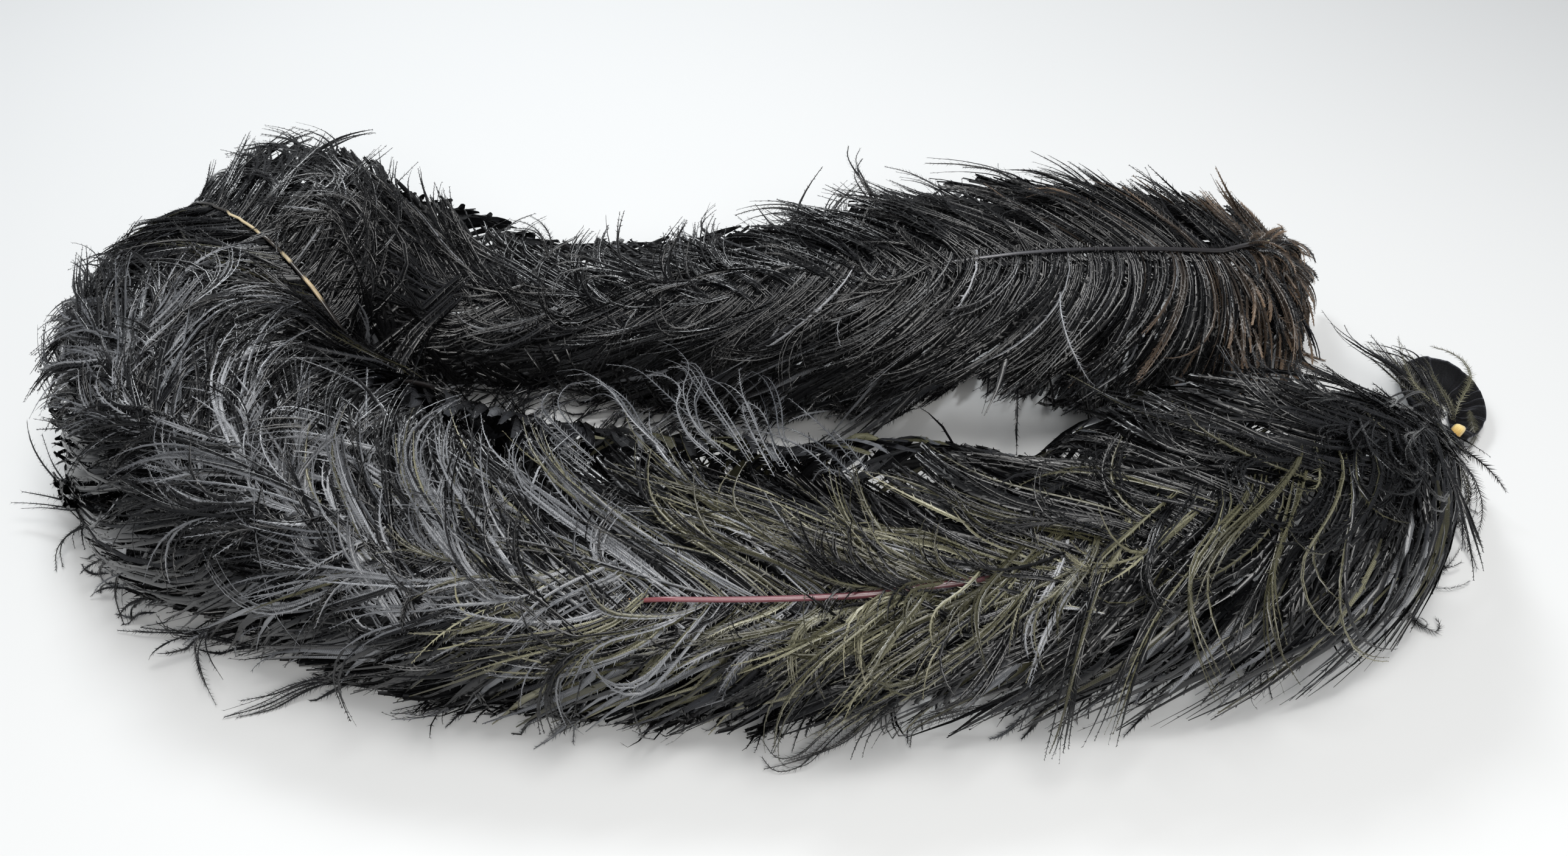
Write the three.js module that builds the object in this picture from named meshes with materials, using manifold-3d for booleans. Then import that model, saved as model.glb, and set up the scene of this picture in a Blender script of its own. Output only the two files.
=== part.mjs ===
// Ostrich feather boa, dyed black, lying folded in a U on a flat surface.
// Millimetres, +Z up, origin at the centre of the underside's bounding box.
//
// The boa is two rows of plumes that run from its two free ends to the bend.
// Every stage of a row is a pair of plumes, one lying face up (top) and one
// lying face down (under), stitched quill to quill.  Each plume is a leaf that
// droops to both sides of its shaft, as deep as its barbs stand.  The plume nearest a free
// end overlaps the next one like a roof tile, so its tip thins out over the
// base of its neighbour.  One free end carries a velvet ribbon loop.
import * as THREE from 'three';
import { mergeVertices } from 'three/addons/utils/BufferGeometryUtils.js';
import Module from 'manifold-3d';

// ---------------------------------------------------------------- dimensions
// Spine of the boa from the ribbon end, round the bend, to the plain end:
// x, y, half width on the outer side of the U, half width on the inner side,
// height above the surface.
const SPINE = [
  [447, 637, 10, 12, 24], [424, 614, 26, 34, 52], [392, 588, 50, 64, 84],
  [346, 560, 80, 92, 108], [290, 534, 99, 112, 120], [232, 518, 104, 112, 119],
  [176, 510, 104, 106, 112], [110, 505, 103, 104, 106], [30, 500, 102, 102, 103],
  [-50, 501, 102, 102, 104], [-136, 507, 102, 103, 108], [-204, 520, 102, 104, 112],
  [-264, 544, 102, 104, 116], [-322, 570, 102, 100, 120], [-362, 612, 101, 96, 122],
  [-380, 668, 103, 94, 124], [-366, 726, 110, 92, 130], [-322, 768, 124, 92, 138],
  [-264, 783, 106, 92, 112], [-220, 780, 86, 90, 84], [-180, 772, 80, 84, 76],
  [-118, 761, 84, 86, 80], [-58, 752, 90, 92, 94], [0, 745, 97, 96, 112],
  [56, 740, 101, 100, 128], [113, 743, 103, 103, 136], [171, 754, 103, 104, 134],
  [228, 770, 98, 102, 122], [280, 787, 90, 98, 106], [330, 805, 74, 84, 84],
  [368, 819, 50, 58, 62], [396, 829, 24, 30, 42],
];
const STATION = 28;          // length of one facet row along the spine
const MID = 0.32;            // height of the parting between top and under plumes
const EDGE = 6;              // thickness kept at the feathered side edges
const TIP = 1.6;             // thickness kept where a tip thins out
const GAP = 0.8;             // air between neighbouring plumes
const LEAF = 12;             // depth of the barbs that droop from a top plume's shaft
const LEAF_U = 6;            // the same for an under plume, which the boa's weight presses
const GATHER = 70;           // length over which both fill out where the quills are tied
const RIDGE_H = 2.4;         // how far a rachis stands out of its vane
const RIDGE_W = 3.2;         // half width of a rachis at its foot

// Lateral place of the rachis along the spine: [arc length, -1 inner .. 1 outer]
const RACHIS = [[0, 0.0], [60, 0.15], [160, 0.25], [300, 0.4], [380, 0.64], [460, 0.73],
  [600, 0.72], [700, 0.6], [820, 0.45], [880, 0.3], [915, 0.1], [945, -0.25], [975, -0.6],
  [1050, -0.76], [1110, -0.72], [1180, -0.6], [1300, -0.52], [1500, -0.5], [1680, -0.5],
  [1740, -0.35], [1800, 0.05]];

// Plumes in order along the spine: name, first and last arc length.
// "over" zones: where one plume lies on its neighbour (from, to, upper plume).
const PLUMES = ['near_1', 'near_2', 'near_3', 'near_4', 'far_3', 'far_2', 'far_1'];
const ZONES = [
  { a: 325, b: 420, upper: 'left' },    // near_1 over near_2
  { a: 530, b: 640, upper: 'left' },    // near_2 over near_3
  { a: 720, b: 830, upper: 'left' },    // near_3 over near_4
  { a: 915, b: 1005, upper: 'right' },  // far_3 over near_4
  { a: 1090, b: 1190, upper: 'right' }, // far_2 over far_3
  { a: 1400, b: 1510, upper: 'right' }, // far_1 over far_2
];

// How far the sides of a tip trail behind its rachis: [arc length, trail].
const SWEEP = [[0, 0], [30, 0], [200, -52], [760, -52], [900, -10], [960, 0], [1010, 10],
  [1150, 52], [1600, 52], [1770, 0], [1900, 0]];

const QUILL = {              // cut quill ends: radius, lateral offset, heights, length
  near_1_top: { r: 3.4, lat: 2.2, z0: 13, z1: 12.6, out: 20 },
  near_1_under: { r: 2.5, lat: -4.2, z0: 3.7, z1: 7.4, out: 15.5 },
  far_1_top: { r: 2.5, lat: 0, z0: 21, z1: 23, out: 9 },
  far_1_under: { r: 2.3, lat: 0, z0: 7.5, z1: 8.5, out: 7 },
};
const BIND = { from: 3.5, to: 9, halfW: 11.2, wall: 1.2, zLo: 0.4, zHi: 18 };

const RIBBON_T = 1.6;        // velvet ribbon, doubled thickness where gathered
// Ribbon path: outer (upper) edge x, y, z and inner (lower) edge x, y, z.
const LOOP = [
  [459.4, 638.0, 13.5, 458.7, 638.8, 2.4],
  [465.6, 641.8, 13.2, 463.6, 644.4, 1.8],
  [475, 647.5, 12.4, 467.5, 655.0, 1.0],
  [486, 655.5, 12, 471.5, 666.0, 0.6],
  [496, 667, 12, 477.5, 676, 0.5],
  [501.5, 681, 12.5, 482.5, 686, 0.5],
  [503, 696, 13, 484.5, 696.5, 0.5],
  [500, 710, 13, 483.5, 704.5, 0.5],
  [493.5, 721.5, 13, 480.5, 709.5, 0.5],
  [483, 728.5, 13, 475.5, 712, 0.5],
  [471, 731, 13, 469.8, 712.4, 0.5],
  [458.5, 727.5, 12.5, 464.5, 709.8, 0.5],
  [449, 718.5, 12.5, 460.5, 704, 0.5],
  [443, 706, 12, 459, 696.5, 0.5],
  [440.5, 691, 12, 457.5, 688.5, 0.5],
  [439.5, 677.5, 12, 455.3, 679, 0.6],
  [439.8, 667, 12.5, 451.4, 670, 1.0],
  [442, 658.5, 13, 448.6, 661, 1.6],
  [446.9, 651.2, 13.5, 447.5, 650.6, 2.4],
];
const STITCH_AT = [1579, 1607, 1691];   // arc length of the stitches over the last rachis

// ---------------------------------------------------------------- spine maths
function catmull(P, n) {
  const out = [], m = P.length;
  for (let i = 0; i < m - 1; i++) {
    const p1 = P[i], p2 = P[i + 1];
    const p0 = i === 0 ? p1.map((v, k) => 2 * v - p2[k]) : P[i - 1];
    const p3 = i === m - 2 ? p2.map((v, k) => 2 * v - p1[k]) : P[i + 2];
    for (let j = 0; j < n; j++) {
      const t = j / n;
      out.push(p1.map((_, k) => 0.5 * (2 * p1[k] + (p2[k] - p0[k]) * t
        + (2 * p0[k] - 5 * p1[k] + 4 * p2[k] - p3[k]) * t * t
        + (-p0[k] + 3 * p1[k] - 3 * p2[k] + p3[k]) * t * t * t)));
    }
  }
  out.push(P[m - 1].slice());
  return out;
}
const FINE = catmull(SPINE, 40);
const ARC = [0];
for (let i = 1; i < FINE.length; i++) {
  ARC.push(ARC[i - 1] + Math.hypot(FINE[i][0] - FINE[i - 1][0], FINE[i][1] - FINE[i - 1][1]));
}
const LENGTH = ARC[ARC.length - 1];
function interp(x, xs, ys) {
  if (x <= xs[0]) return ys[0];
  const n = xs.length;
  if (x >= xs[n - 1]) return ys[n - 1];
  let i = 1;
  while (xs[i] < x) i++;
  const f = (x - xs[i - 1]) / (xs[i] - xs[i - 1]);
  return ys[i - 1] + (ys[i] - ys[i - 1]) * f;
}
const COL = [0, 1, 2, 3, 4].map((k) => FINE.map((p) => p[k]));
function frameAt(s) {
  const [x, y, ao, ai, h] = COL.map((c) => interp(s, ARC, c));
  const e = 2;
  const s0 = Math.max(0, s - e), s1 = Math.min(LENGTH, s + e);
  const tx = interp(s1, ARC, COL[0]) - interp(s0, ARC, COL[0]);
  const ty = interp(s1, ARC, COL[1]) - interp(s0, ARC, COL[1]);
  const n = Math.hypot(tx, ty);
  return { x, y, ao, ai, h, tx: tx / n, ty: ty / n };
}
const rachisU = (s) => interp(s, RACHIS.map((r) => r[0]), RACHIS.map((r) => r[1]));
const crown = (u) => Math.sqrt(Math.max(0, 1 - Math.pow(Math.abs(u), 2.3)));
function zTop(f, u) {
  const m = MID * f.h;
  return Math.max(m + EDGE, m + (f.h - m) * crown(u));
}
function zBot(f, u) {
  const m = MID * f.h;
  const w = Math.max(0, (Math.abs(u) - 0.72) / 0.28);
  return Math.min(Math.max(0, m - EDGE), m * w * w);
}

// Stations: evenly spaced, with the zone ends snapped onto the grid.
const nCells = Math.round(LENGTH / STATION);
const S = [...Array(nCells + 1).keys()].map((i) => (LENGTH * i) / nCells);
const snap = (s) => Math.round((s / LENGTH) * nCells);
const Z = ZONES.map((z) => ({ ia: snap(z.a), ib: snap(z.b), upper: z.upper }));

// The nine lines across a station, the middle three carrying the rachis.
function lines(s, f) {
  const r = rachisU(s);
  const w = RIDGE_W / Math.max(20, r > 0 ? f.ao : f.ai) * 1.0;
  const out = [];
  for (const q of [1, 0.74, 0.4]) out.push(r + (-1 - r) * q);
  out.push(r - w, r, r + w);
  for (const q of [0.4, 0.74, 1]) out.push(r + (1 - r) * q);
  return out;
}
// Each grid point keeps its place on the surface the boa lies on and the frame
// of the spine it belongs to.  The rows are swept into the shape of a tip.
const GRID = S.map((s) => {
  const us = lines(s, frameAt(s));
  const amp = interp(s, SWEEP.map((q) => q[0]), SWEEP.map((q) => q[1]));
  const r = rachisU(s);
  const v = us.map((u) => {
    const d = Math.abs(u - r) / (1 + Math.abs(r));
    const f = frameAt(Math.min(LENGTH, Math.max(0, s + amp * Math.pow(d, 1.35))));
    const w = u > 0 ? f.ao * u : f.ai * u;
    return { u, f, x: f.x - f.ty * w, y: f.y + f.tx * w };
  });
  return { s, us, v, f: v[4].f };
});

// ---------------------------------------------------------------- plume solids
// A closed solid between a lower and an upper surface over the same stations.
function slab(i0, i1, lo, hi) {
  const pos = [], idx = [], n = GRID[0].us.length, m = i1 - i0 + 1;
  const id = (layer, i, j) => layer * m * n + i * n + j;
  for (const layer of [0, 1]) {
    for (let i = 0; i < m; i++) {
      const g = GRID[i0 + i];
      g.v.forEach((q, j) => {
        pos.push(q.x, q.y, layer ? hi(i0 + i, q, q.u, j) : lo(i0 + i, q, q.u, j));
      });
    }
  }
  const quad = (a, b, c, d) => idx.push(a, b, c, a, c, d);
  for (let i = 0; i < m - 1; i++) {
    for (let j = 0; j < n - 1; j++) {
      quad(id(1, i, j), id(1, i + 1, j), id(1, i + 1, j + 1), id(1, i, j + 1));
      idx.push(id(0, i, j), id(0, i + 1, j + 1), id(0, i + 1, j),
        id(0, i, j), id(0, i, j + 1), id(0, i + 1, j + 1));
    }
    quad(id(0, i, 0), id(0, i + 1, 0), id(1, i + 1, 0), id(1, i, 0));
    quad(id(0, i + 1, n - 1), id(0, i, n - 1), id(1, i, n - 1), id(1, i + 1, n - 1));
  }
  for (let j = 0; j < n - 1; j++) {
    quad(id(0, 0, j + 1), id(0, 0, j), id(1, 0, j), id(1, 0, j + 1));
    quad(id(0, m - 1, j), id(0, m - 1, j + 1), id(1, m - 1, j + 1), id(1, m - 1, j));
  }
  const geo = new THREE.BufferGeometry();
  geo.setAttribute('position', new THREE.Float32BufferAttribute(pos, 3));
  geo.setIndex(idx);
  return geo;
}

// Depth of a plume's leaf: more down the steep flanks, and all of it at the ties.
function depth(i, u, t) {
  const toEnd = Math.min(S[i], LENGTH - S[i]);
  return t * (1 + 1.4 * Math.pow(Math.abs(u), 3)) + 45 * Math.max(0, 1 - toEnd / GATHER);
}
function zoneRatio(z, i) {
  const r = (i - z.ia) / (z.ib - z.ia);
  return z.upper === 'left' ? r : 1 - r;
}
function plume(k) {
  const before = k > 0 ? Z[k - 1] : null;
  const after = k < Z.length ? Z[k] : null;
  const i0 = before ? before.ia : 0;
  const i1 = after ? after.ib : nCells;
  const beforeUpper = before && before.upper === 'right';  // this plume is on top there
  const afterUpper = after && after.upper === 'left';
  const inside = (z, i) => z && i >= z.ia && i <= z.ib;
  const face = (z, i, g, u) => {             // parting surface of the top layer
    const m = MID * g.f.h + GAP / 2, t = zTop(g.f, u);
    const r = zoneRatio(z, i);
    return m + TIP + GAP / 2 + (t - m - 2 * TIP - GAP) * r;
  };
  const faceU = (z, i, g, u) => {            // parting surface of the under layer
    const m = MID * g.f.h - GAP / 2, b = zBot(g.f, u);
    const r = zoneRatio(z, i);
    return m - TIP - GAP / 2 - (m - b - 2 * TIP - GAP) * r;
  };
  // distance from the quill end, for the taper of the rachis
  const fromQuill = (i) => (k <= 3 ? i - i0 : i1 - i);
  const topFloor = (i, g, u) => {
    if (afterUpper && inside(after, i)) return face(after, i, g, u) + GAP / 2;
    if (beforeUpper && inside(before, i)) return face(before, i, g, u) + GAP / 2;
    return MID * g.f.h + GAP / 2;
  };
  const topRoof = (i, g, u) => {
    if (after && !afterUpper && inside(after, i)) return face(after, i, g, u) - GAP / 2;
    if (before && !beforeUpper && inside(before, i)) return face(before, i, g, u) - GAP / 2;
    return zTop(g.f, u);
  };
  const ridge = (i, j) => (j !== 4 || (after && !afterUpper && inside(after, i))
    || (before && !beforeUpper && inside(before, i)) ? 0 : RIDGE_H * Math.max(0.25, 1 - fromQuill(i) / 22));
  const top = slab(i0, i1,
    (i, g, u) => Math.max(topFloor(i, g, u), topRoof(i, g, u) - depth(i, u, LEAF)),
    (i, g, u, j) => topRoof(i, g, u) + ridge(i, j));
  const underFloor = (i, g, u) => {
    if (after && !afterUpper && inside(after, i)) return faceU(after, i, g, u) + GAP / 2;
    if (before && !beforeUpper && inside(before, i)) return faceU(before, i, g, u) + GAP / 2;
    return zBot(g.f, u);
  };
  const underRoof = (i, g, u) => {
    if (afterUpper && inside(after, i)) return faceU(after, i, g, u) - GAP / 2;
    if (beforeUpper && inside(before, i)) return faceU(before, i, g, u) - GAP / 2;
    return MID * g.f.h - GAP / 2;
  };
  const under = slab(i0, i1, underFloor,
    (i, g, u) => Math.min(underRoof(i, g, u), underFloor(i, g, u) + depth(i, u, LEAF_U)));
  return { top, under };
}

// ---------------------------------------------------------------- joins
const wasm = await Module();
wasm.setup();
function toManifold(geo) {
  let g = geo.clone();
  g.deleteAttribute('normal');
  g.deleteAttribute('uv');
  g = mergeVertices(g, 1e-4);
  return new wasm.Manifold(new wasm.Mesh({
    numProp: 3,
    vertProperties: new Float32Array(g.attributes.position.array),
    triVerts: new Uint32Array(g.index.array),
  }));
}
function fromManifold(man) {
  const m = man.getMesh();
  const g = new THREE.BufferGeometry();
  g.setAttribute('position', new THREE.Float32BufferAttribute(m.vertProperties, 3));
  g.setIndex(Array.from(m.triVerts));
  return g;
}
// A quill from just inside the plume to its cut end, slightly narrowed.
function quill(end, q) {
  const f = frameAt(end === 0 ? 0 : LENGTH);
  const sgn = end === 0 ? -1 : 1;
  const ex = sgn * f.tx, ey = sgn * f.ty;        // out of the boa
  const nx = -f.ty, ny = f.tx;
  const a = new THREE.Vector3(f.x - ex * 7 + nx * q.lat, f.y - ey * 7 + ny * q.lat, q.z0);
  const b = new THREE.Vector3(f.x + ex * q.out + nx * q.lat, f.y + ey * q.out + ny * q.lat, q.z1);
  const d = b.clone().sub(a);
  const geo = new THREE.CylinderGeometry(q.r * 0.94, q.r, d.length(), 10, 1);
  geo.applyQuaternion(new THREE.Quaternion().setFromUnitVectors(
    new THREE.Vector3(0, 1, 0), d.clone().normalize()));
  geo.translate((a.x + b.x) / 2, (a.y + b.y) / 2, (a.z + b.z) / 2);
  return geo;
}

// ---------------------------------------------------------------- ribbon loop
function ribbonLoop() {
  const P = LOOP, pos = [], idx = [], n = P.length;
  P.forEach((p, i) => {
    const a = P[Math.max(0, i - 1)], b = P[Math.min(n - 1, i + 1)];
    const along = new THREE.Vector3(b[0] - a[0], b[1] - a[1], 0).normalize();
    const o = new THREE.Vector3(p[0], p[1], p[2]), q = new THREE.Vector3(p[3], p[4], p[5]);
    const across = o.clone().sub(q).normalize();
    const nrm = new THREE.Vector3().crossVectors(across, along).normalize();
    nrm.multiplyScalar(RIBBON_T);
    for (const v of [q, o, o.clone().add(nrm), q.clone().add(nrm)]) pos.push(v.x, v.y, v.z);
  });
  for (let i = 0; i < n - 1; i++) {
    for (let k = 0; k < 4; k++) {
      const a = i * 4 + k, b = i * 4 + ((k + 1) % 4), c = a + 4, d = b + 4;
      idx.push(a, b, d, a, d, c);
    }
  }
  idx.push(0, 2, 1, 0, 3, 2);
  const e = (n - 1) * 4;
  idx.push(e, e + 1, e + 2, e, e + 2, e + 3);
  const geo = new THREE.BufferGeometry();
  geo.setAttribute('position', new THREE.Float32BufferAttribute(pos, 3));
  geo.setIndex(idx);
  return geo;
}

// ---------------------------------------------------------------- bindings
// Thread wound round the quills and the ribbon's tails: an oval band.
function binding() {
  const f = frameAt(0);
  const ex = -f.tx, ey = -f.ty, nx = -f.ty, ny = f.tx;
  const zc = (BIND.zLo + BIND.zHi) / 2, zr = (BIND.zHi - BIND.zLo) / 2;
  const shape = new THREE.Shape(), hole = new THREE.Path();
  const N = 20;
  const ring = (path, rx, rz, cw) => {
    for (let i = 0; i < N; i++) {
      const t = ((cw ? -i : i) / N) * Math.PI * 2;
      const c = Math.cos(t), s = Math.sin(t);
      const x = rx * Math.sign(c) * Math.pow(Math.abs(c), 0.55), y = rz * Math.sign(s) * Math.pow(Math.abs(s), 0.55);
      if (i === 0) path.moveTo(x, y); else path.lineTo(x, y);
    }
    path.closePath();
  };
  ring(shape, BIND.halfW, zr, false);
  ring(hole, BIND.halfW - BIND.wall, zr - BIND.wall, true);
  shape.holes.push(hole);
  const geo = new THREE.ExtrudeGeometry(shape, { depth: BIND.to - BIND.from, bevelEnabled: false, steps: 1 });
  const m = new THREE.Matrix4().makeBasis(
    new THREE.Vector3(-nx, -ny, 0), new THREE.Vector3(0, 0, 1), new THREE.Vector3(-ex, -ey, 0).negate());
  // keep the basis right handed
  if (m.determinant() < 0) {
    m.makeBasis(new THREE.Vector3(nx, ny, 0), new THREE.Vector3(0, 0, 1), new THREE.Vector3(ex, ey, 0));
  }
  geo.applyMatrix4(m);
  geo.translate(f.x + ex * BIND.from, f.y + ey * BIND.from, zc);
  return geo;
}

// A stitch over the rachis: a thin arch lying just above the ridge.
function stitch(s) {
  const i = snap(s);
  const g = GRID[i];
  const k = RIDGE_H * Math.max(0.25, 1 - (nCells - i) / 22);
  const r = g.us[4], w = g.us[5] - g.us[4];
  const prof = [[r - 1.9 * w, 0], [r - w, 0], [r, k], [r + w, 0], [r + 1.9 * w, 0]];
  const pts = prof.map(([u, up]) => {
    const w = u > 0 ? g.f.ao * u : g.f.ai * u;
    return new THREE.Vector3(g.f.x - g.f.ty * w, g.f.y + g.f.tx * w, zTop(g.f, u) + up);
  });
  const t = new THREE.Vector3(g.f.tx, g.f.ty, 0);
  const pos = [], idx = [];
  for (const side of [-0.6, 0.6]) {
    for (const lift of [0.7, 1.6]) {
      pts.forEach((p) => pos.push(p.x + t.x * side, p.y + t.y * side, p.z + lift));
    }
  }
  const n = pts.length, id = (sd, lf, j) => (sd * 2 + lf) * n + j;
  const quad = (a, b, c, d) => idx.push(a, b, c, a, c, d);
  for (let j = 0; j < n - 1; j++) {
    quad(id(0, 1, j), id(1, 1, j), id(1, 1, j + 1), id(0, 1, j + 1));
    quad(id(0, 0, j), id(0, 0, j + 1), id(1, 0, j + 1), id(1, 0, j));
    quad(id(0, 0, j + 1), id(0, 0, j), id(0, 1, j), id(0, 1, j + 1));
    quad(id(1, 0, j), id(1, 0, j + 1), id(1, 1, j + 1), id(1, 1, j));
  }
  quad(id(0, 0, 0), id(1, 0, 0), id(1, 1, 0), id(0, 1, 0));
  quad(id(1, 0, n - 1), id(0, 0, n - 1), id(0, 1, n - 1), id(1, 1, n - 1));
  const geo = new THREE.BufferGeometry();
  geo.setAttribute('position', new THREE.Float32BufferAttribute(pos, 3));
  geo.setIndex(idx);
  return geo;
}

// Make sure the faces point outward.
function outward(geo) {
  const p = geo.attributes.position.array, ix = geo.index ? geo.index.array : null;
  const n = ix ? ix.length : p.length / 3;
  let v = 0;
  for (let i = 0; i < n; i += 3) {
    const [a, b, c] = [0, 1, 2].map((k) => (ix ? ix[i + k] : i + k) * 3);
    v += p[a] * (p[b + 1] * p[c + 2] - p[b + 2] * p[c + 1])
      - p[a + 1] * (p[b] * p[c + 2] - p[b + 2] * p[c])
      + p[a + 2] * (p[b] * p[c + 1] - p[b + 1] * p[c]);
  }
  if (v < 0 && ix) {
    const f = Array.from(ix);
    for (let i = 0; i < f.length; i += 3) [f[i + 1], f[i + 2]] = [f[i + 2], f[i + 1]];
    geo.setIndex(f);
  }
  geo.computeVertexNormals();
  return geo;
}

// ---------------------------------------------------------------- assembly
const boa = new THREE.Group();
const inner = new THREE.Group();
boa.add(inner);
function add(name, geo, color, rough) {
  const mesh = new THREE.Mesh(outward(geo), new THREE.MeshStandardMaterial({ color, roughness: rough, metalness: 0 }));
  mesh.name = name;
  inner.add(mesh);
}

const TONE = { near_1: 0x17171a, near_2: 0x26251c, near_3: 0x1a1c22, near_4: 0x16171a,
  far_3: 0x151517, far_2: 0x131315, far_1: 0x1a1715 };
PLUMES.forEach((name, k) => {
  const { top, under } = plume(k);
  for (const [part, geo0] of [['top', top], ['under', under]]) {
    let geo = outward(geo0);
    const q = QUILL[`${name}_${part}`];
    if (q) {
      geo = fromManifold(toManifold(geo).add(toManifold(outward(quill(k === 0 ? 0 : 1, q)))));
    }
    add(`plume_${name}_${part}`, geo, TONE[name], 0.55);
  }
});
add('velvet_loop', ribbonLoop(), 0x0b0b0d, 0.95);
add('binding_thread', mergeVertices((() => { const g = binding(); g.deleteAttribute('normal'); g.deleteAttribute('uv'); return g; })(), 1e-4), 0x101012, 0.8);
STITCH_AT.forEach((s, i) => add(`stitch_${i + 1}`, stitch(s), 0x1a1a1c, 0.8));

// Origin at the centre of the footprint, on the surface the boa lies on.
const box = new THREE.Box3().setFromObject(inner);
inner.position.set(-(box.min.x + box.max.x) / 2, -(box.min.y + box.max.y) / 2, -box.min.z);
boa.updateMatrixWorld(true);

export default boa;
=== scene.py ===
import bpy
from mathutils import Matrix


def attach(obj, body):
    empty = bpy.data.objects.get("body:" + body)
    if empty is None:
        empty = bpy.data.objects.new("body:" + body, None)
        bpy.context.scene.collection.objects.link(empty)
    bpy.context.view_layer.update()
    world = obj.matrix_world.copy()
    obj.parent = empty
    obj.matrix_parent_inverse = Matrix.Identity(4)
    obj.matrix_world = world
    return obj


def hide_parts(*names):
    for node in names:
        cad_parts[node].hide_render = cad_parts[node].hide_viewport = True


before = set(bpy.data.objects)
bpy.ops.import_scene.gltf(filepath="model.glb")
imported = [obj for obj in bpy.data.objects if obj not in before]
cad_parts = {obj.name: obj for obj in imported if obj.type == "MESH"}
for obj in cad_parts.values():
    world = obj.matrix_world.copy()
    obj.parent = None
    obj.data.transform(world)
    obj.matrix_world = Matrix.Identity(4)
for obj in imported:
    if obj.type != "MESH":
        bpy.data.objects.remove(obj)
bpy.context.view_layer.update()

import math

import bpy
import numpy as np
from mathutils import Vector

# ------------------------------------------------------------------ the spine
# The boa's centre line from the ribbon end round the bend to the plain end, in
# millimetres: x, y, outer half width, inner half width, height.
SPINE = np.array([
    (447, 637, 10, 12, 24), (424, 614, 26, 34, 52), (392, 588, 50, 64, 84),
    (346, 560, 80, 92, 108), (290, 534, 99, 112, 120), (232, 518, 104, 112, 119),
    (176, 510, 104, 106, 112), (110, 505, 103, 104, 106), (30, 500, 102, 102, 103),
    (-50, 501, 102, 102, 104), (-136, 507, 102, 103, 108), (-204, 520, 102, 104, 112),
    (-264, 544, 102, 104, 116), (-322, 570, 102, 100, 120), (-362, 612, 101, 96, 122),
    (-380, 668, 103, 94, 124), (-366, 726, 110, 92, 130), (-322, 768, 124, 92, 138),
    (-264, 783, 106, 92, 112), (-220, 780, 86, 90, 84), (-180, 772, 80, 84, 76),
    (-118, 761, 84, 86, 80), (-58, 752, 90, 92, 94), (0, 745, 97, 96, 112),
    (56, 740, 101, 100, 128), (113, 743, 103, 103, 136), (171, 754, 103, 104, 134),
    (228, 770, 98, 102, 122), (280, 787, 90, 98, 106), (330, 805, 74, 84, 84),
    (368, 819, 50, 58, 62), (396, 829, 24, 30, 42)], float)
OFF = np.array([-10.088, -645.150, 0.0])      # to the part's own frame
MID = 0.32
HP = math.pi / 2


def catmull(P, n=40):
    out, m = [], len(P)
    for i in range(m - 1):
        p1, p2 = P[i], P[i + 1]
        p0 = 2 * p1 - p2 if i == 0 else P[i - 1]
        p3 = 2 * p2 - p1 if i == m - 2 else P[i + 2]
        t = np.linspace(0, 1, n, endpoint=False)[:, None]
        out.append(0.5 * ((2 * p1) + (-p0 + p2) * t + (2 * p0 - 5 * p1 + 4 * p2 - p3) * t * t
                          + (-p0 + 3 * p1 - 3 * p2 + p3) * t ** 3))
    out.append(P[-1][None])
    return np.vstack(out)


FINE = catmull(SPINE)
DS = np.r_[0, np.cumsum(np.hypot(*np.diff(FINE[:, :2], axis=0).T))]
LEN = DS[-1]
SG = np.linspace(0, LEN, 1200)
GX, GY, GAO, GAI, GH = [np.interp(SG, DS, FINE[:, k]) for k in range(5)]
_tx, _ty = np.gradient(GX, SG), np.gradient(GY, SG)
_n = np.hypot(_tx, _ty)
GTX, GTY = _tx / _n, _ty / _n
_th = np.unwrap(np.arctan2(GTY, GTX))
GK = np.convolve(np.pad(np.gradient(_th, SG), 12, mode="edge"), np.ones(25) / 25, "valid")


class At:
    """The spine at arc lengths s."""

    def __init__(self, s):
        s = np.clip(s, 0, LEN)
        self.x, self.y, self.ao, self.ai, self.h, self.tx, self.ty, self.k = [
            np.interp(s, SG, g) for g in (GX, GY, GAO, GAI, GH, GTX, GTY, GK)]


def section(f, phi, under=False):
    """Across the boa: phi is 0 on the crown, +-pi/2 at the edges. Returns (lateral, height)."""
    ap, sg = np.abs(phi), np.sign(phi)
    a = np.where(phi > 0, f.ao, f.ai)
    m = MID * f.h
    q = np.minimum(ap, HP)
    yt, zt = a * np.power(np.sin(q), 0.87), m + (f.h - m) * np.cos(q)
    if under:
        ps = np.clip(math.pi - ap, 0, HP)
        yb = a * np.power(np.sin(ps), 0.75)
        zb = 2.5 + (m - 2.5) * (1 - np.power(np.cos(ps), 0.8))
    else:
        d = np.maximum(ap - HP, 0) * a
        drop = np.minimum(d, m - 1.5)
        yb = a + 0.12 * drop + 16 * (1 - np.exp(-np.maximum(0, d - (m - 1.5)) / 16))
        zb = m - drop
    top = ap <= HP
    return sg * np.where(top, yt, yb), np.where(top, zt, zb)


def surface(s, phi, lift, under=False):
    """Point, outward normal and stretch of the boa's surface."""
    f = At(s)
    e = 0.02
    y0, z0 = section(f, phi - e, under)
    y1, z1 = section(f, phi + e, under)
    y, z = section(f, phi, under)
    dy, dz = (y1 - y0) / (2 * e), (z1 - z0) / (2 * e)
    g = np.maximum(np.hypot(dy, dz), 8.0)
    ny, nz = -dz / g, dy / g
    yl, zl = y + ny * lift, z + nz * lift
    P = np.stack([f.x - f.ty * yl, f.y + f.tx * yl, zl], -1)
    N = np.stack([-f.ty * ny, f.tx * ny, nz], -1)
    return P, N, g, np.clip(1 - f.k * y, 0.3, 3.0), f


def phi_of(u):
    u = np.clip(u, -0.9999, 0.9999)
    return np.sign(u) * np.arcsin(np.power(np.abs(u), 1 / 0.87))


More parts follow.
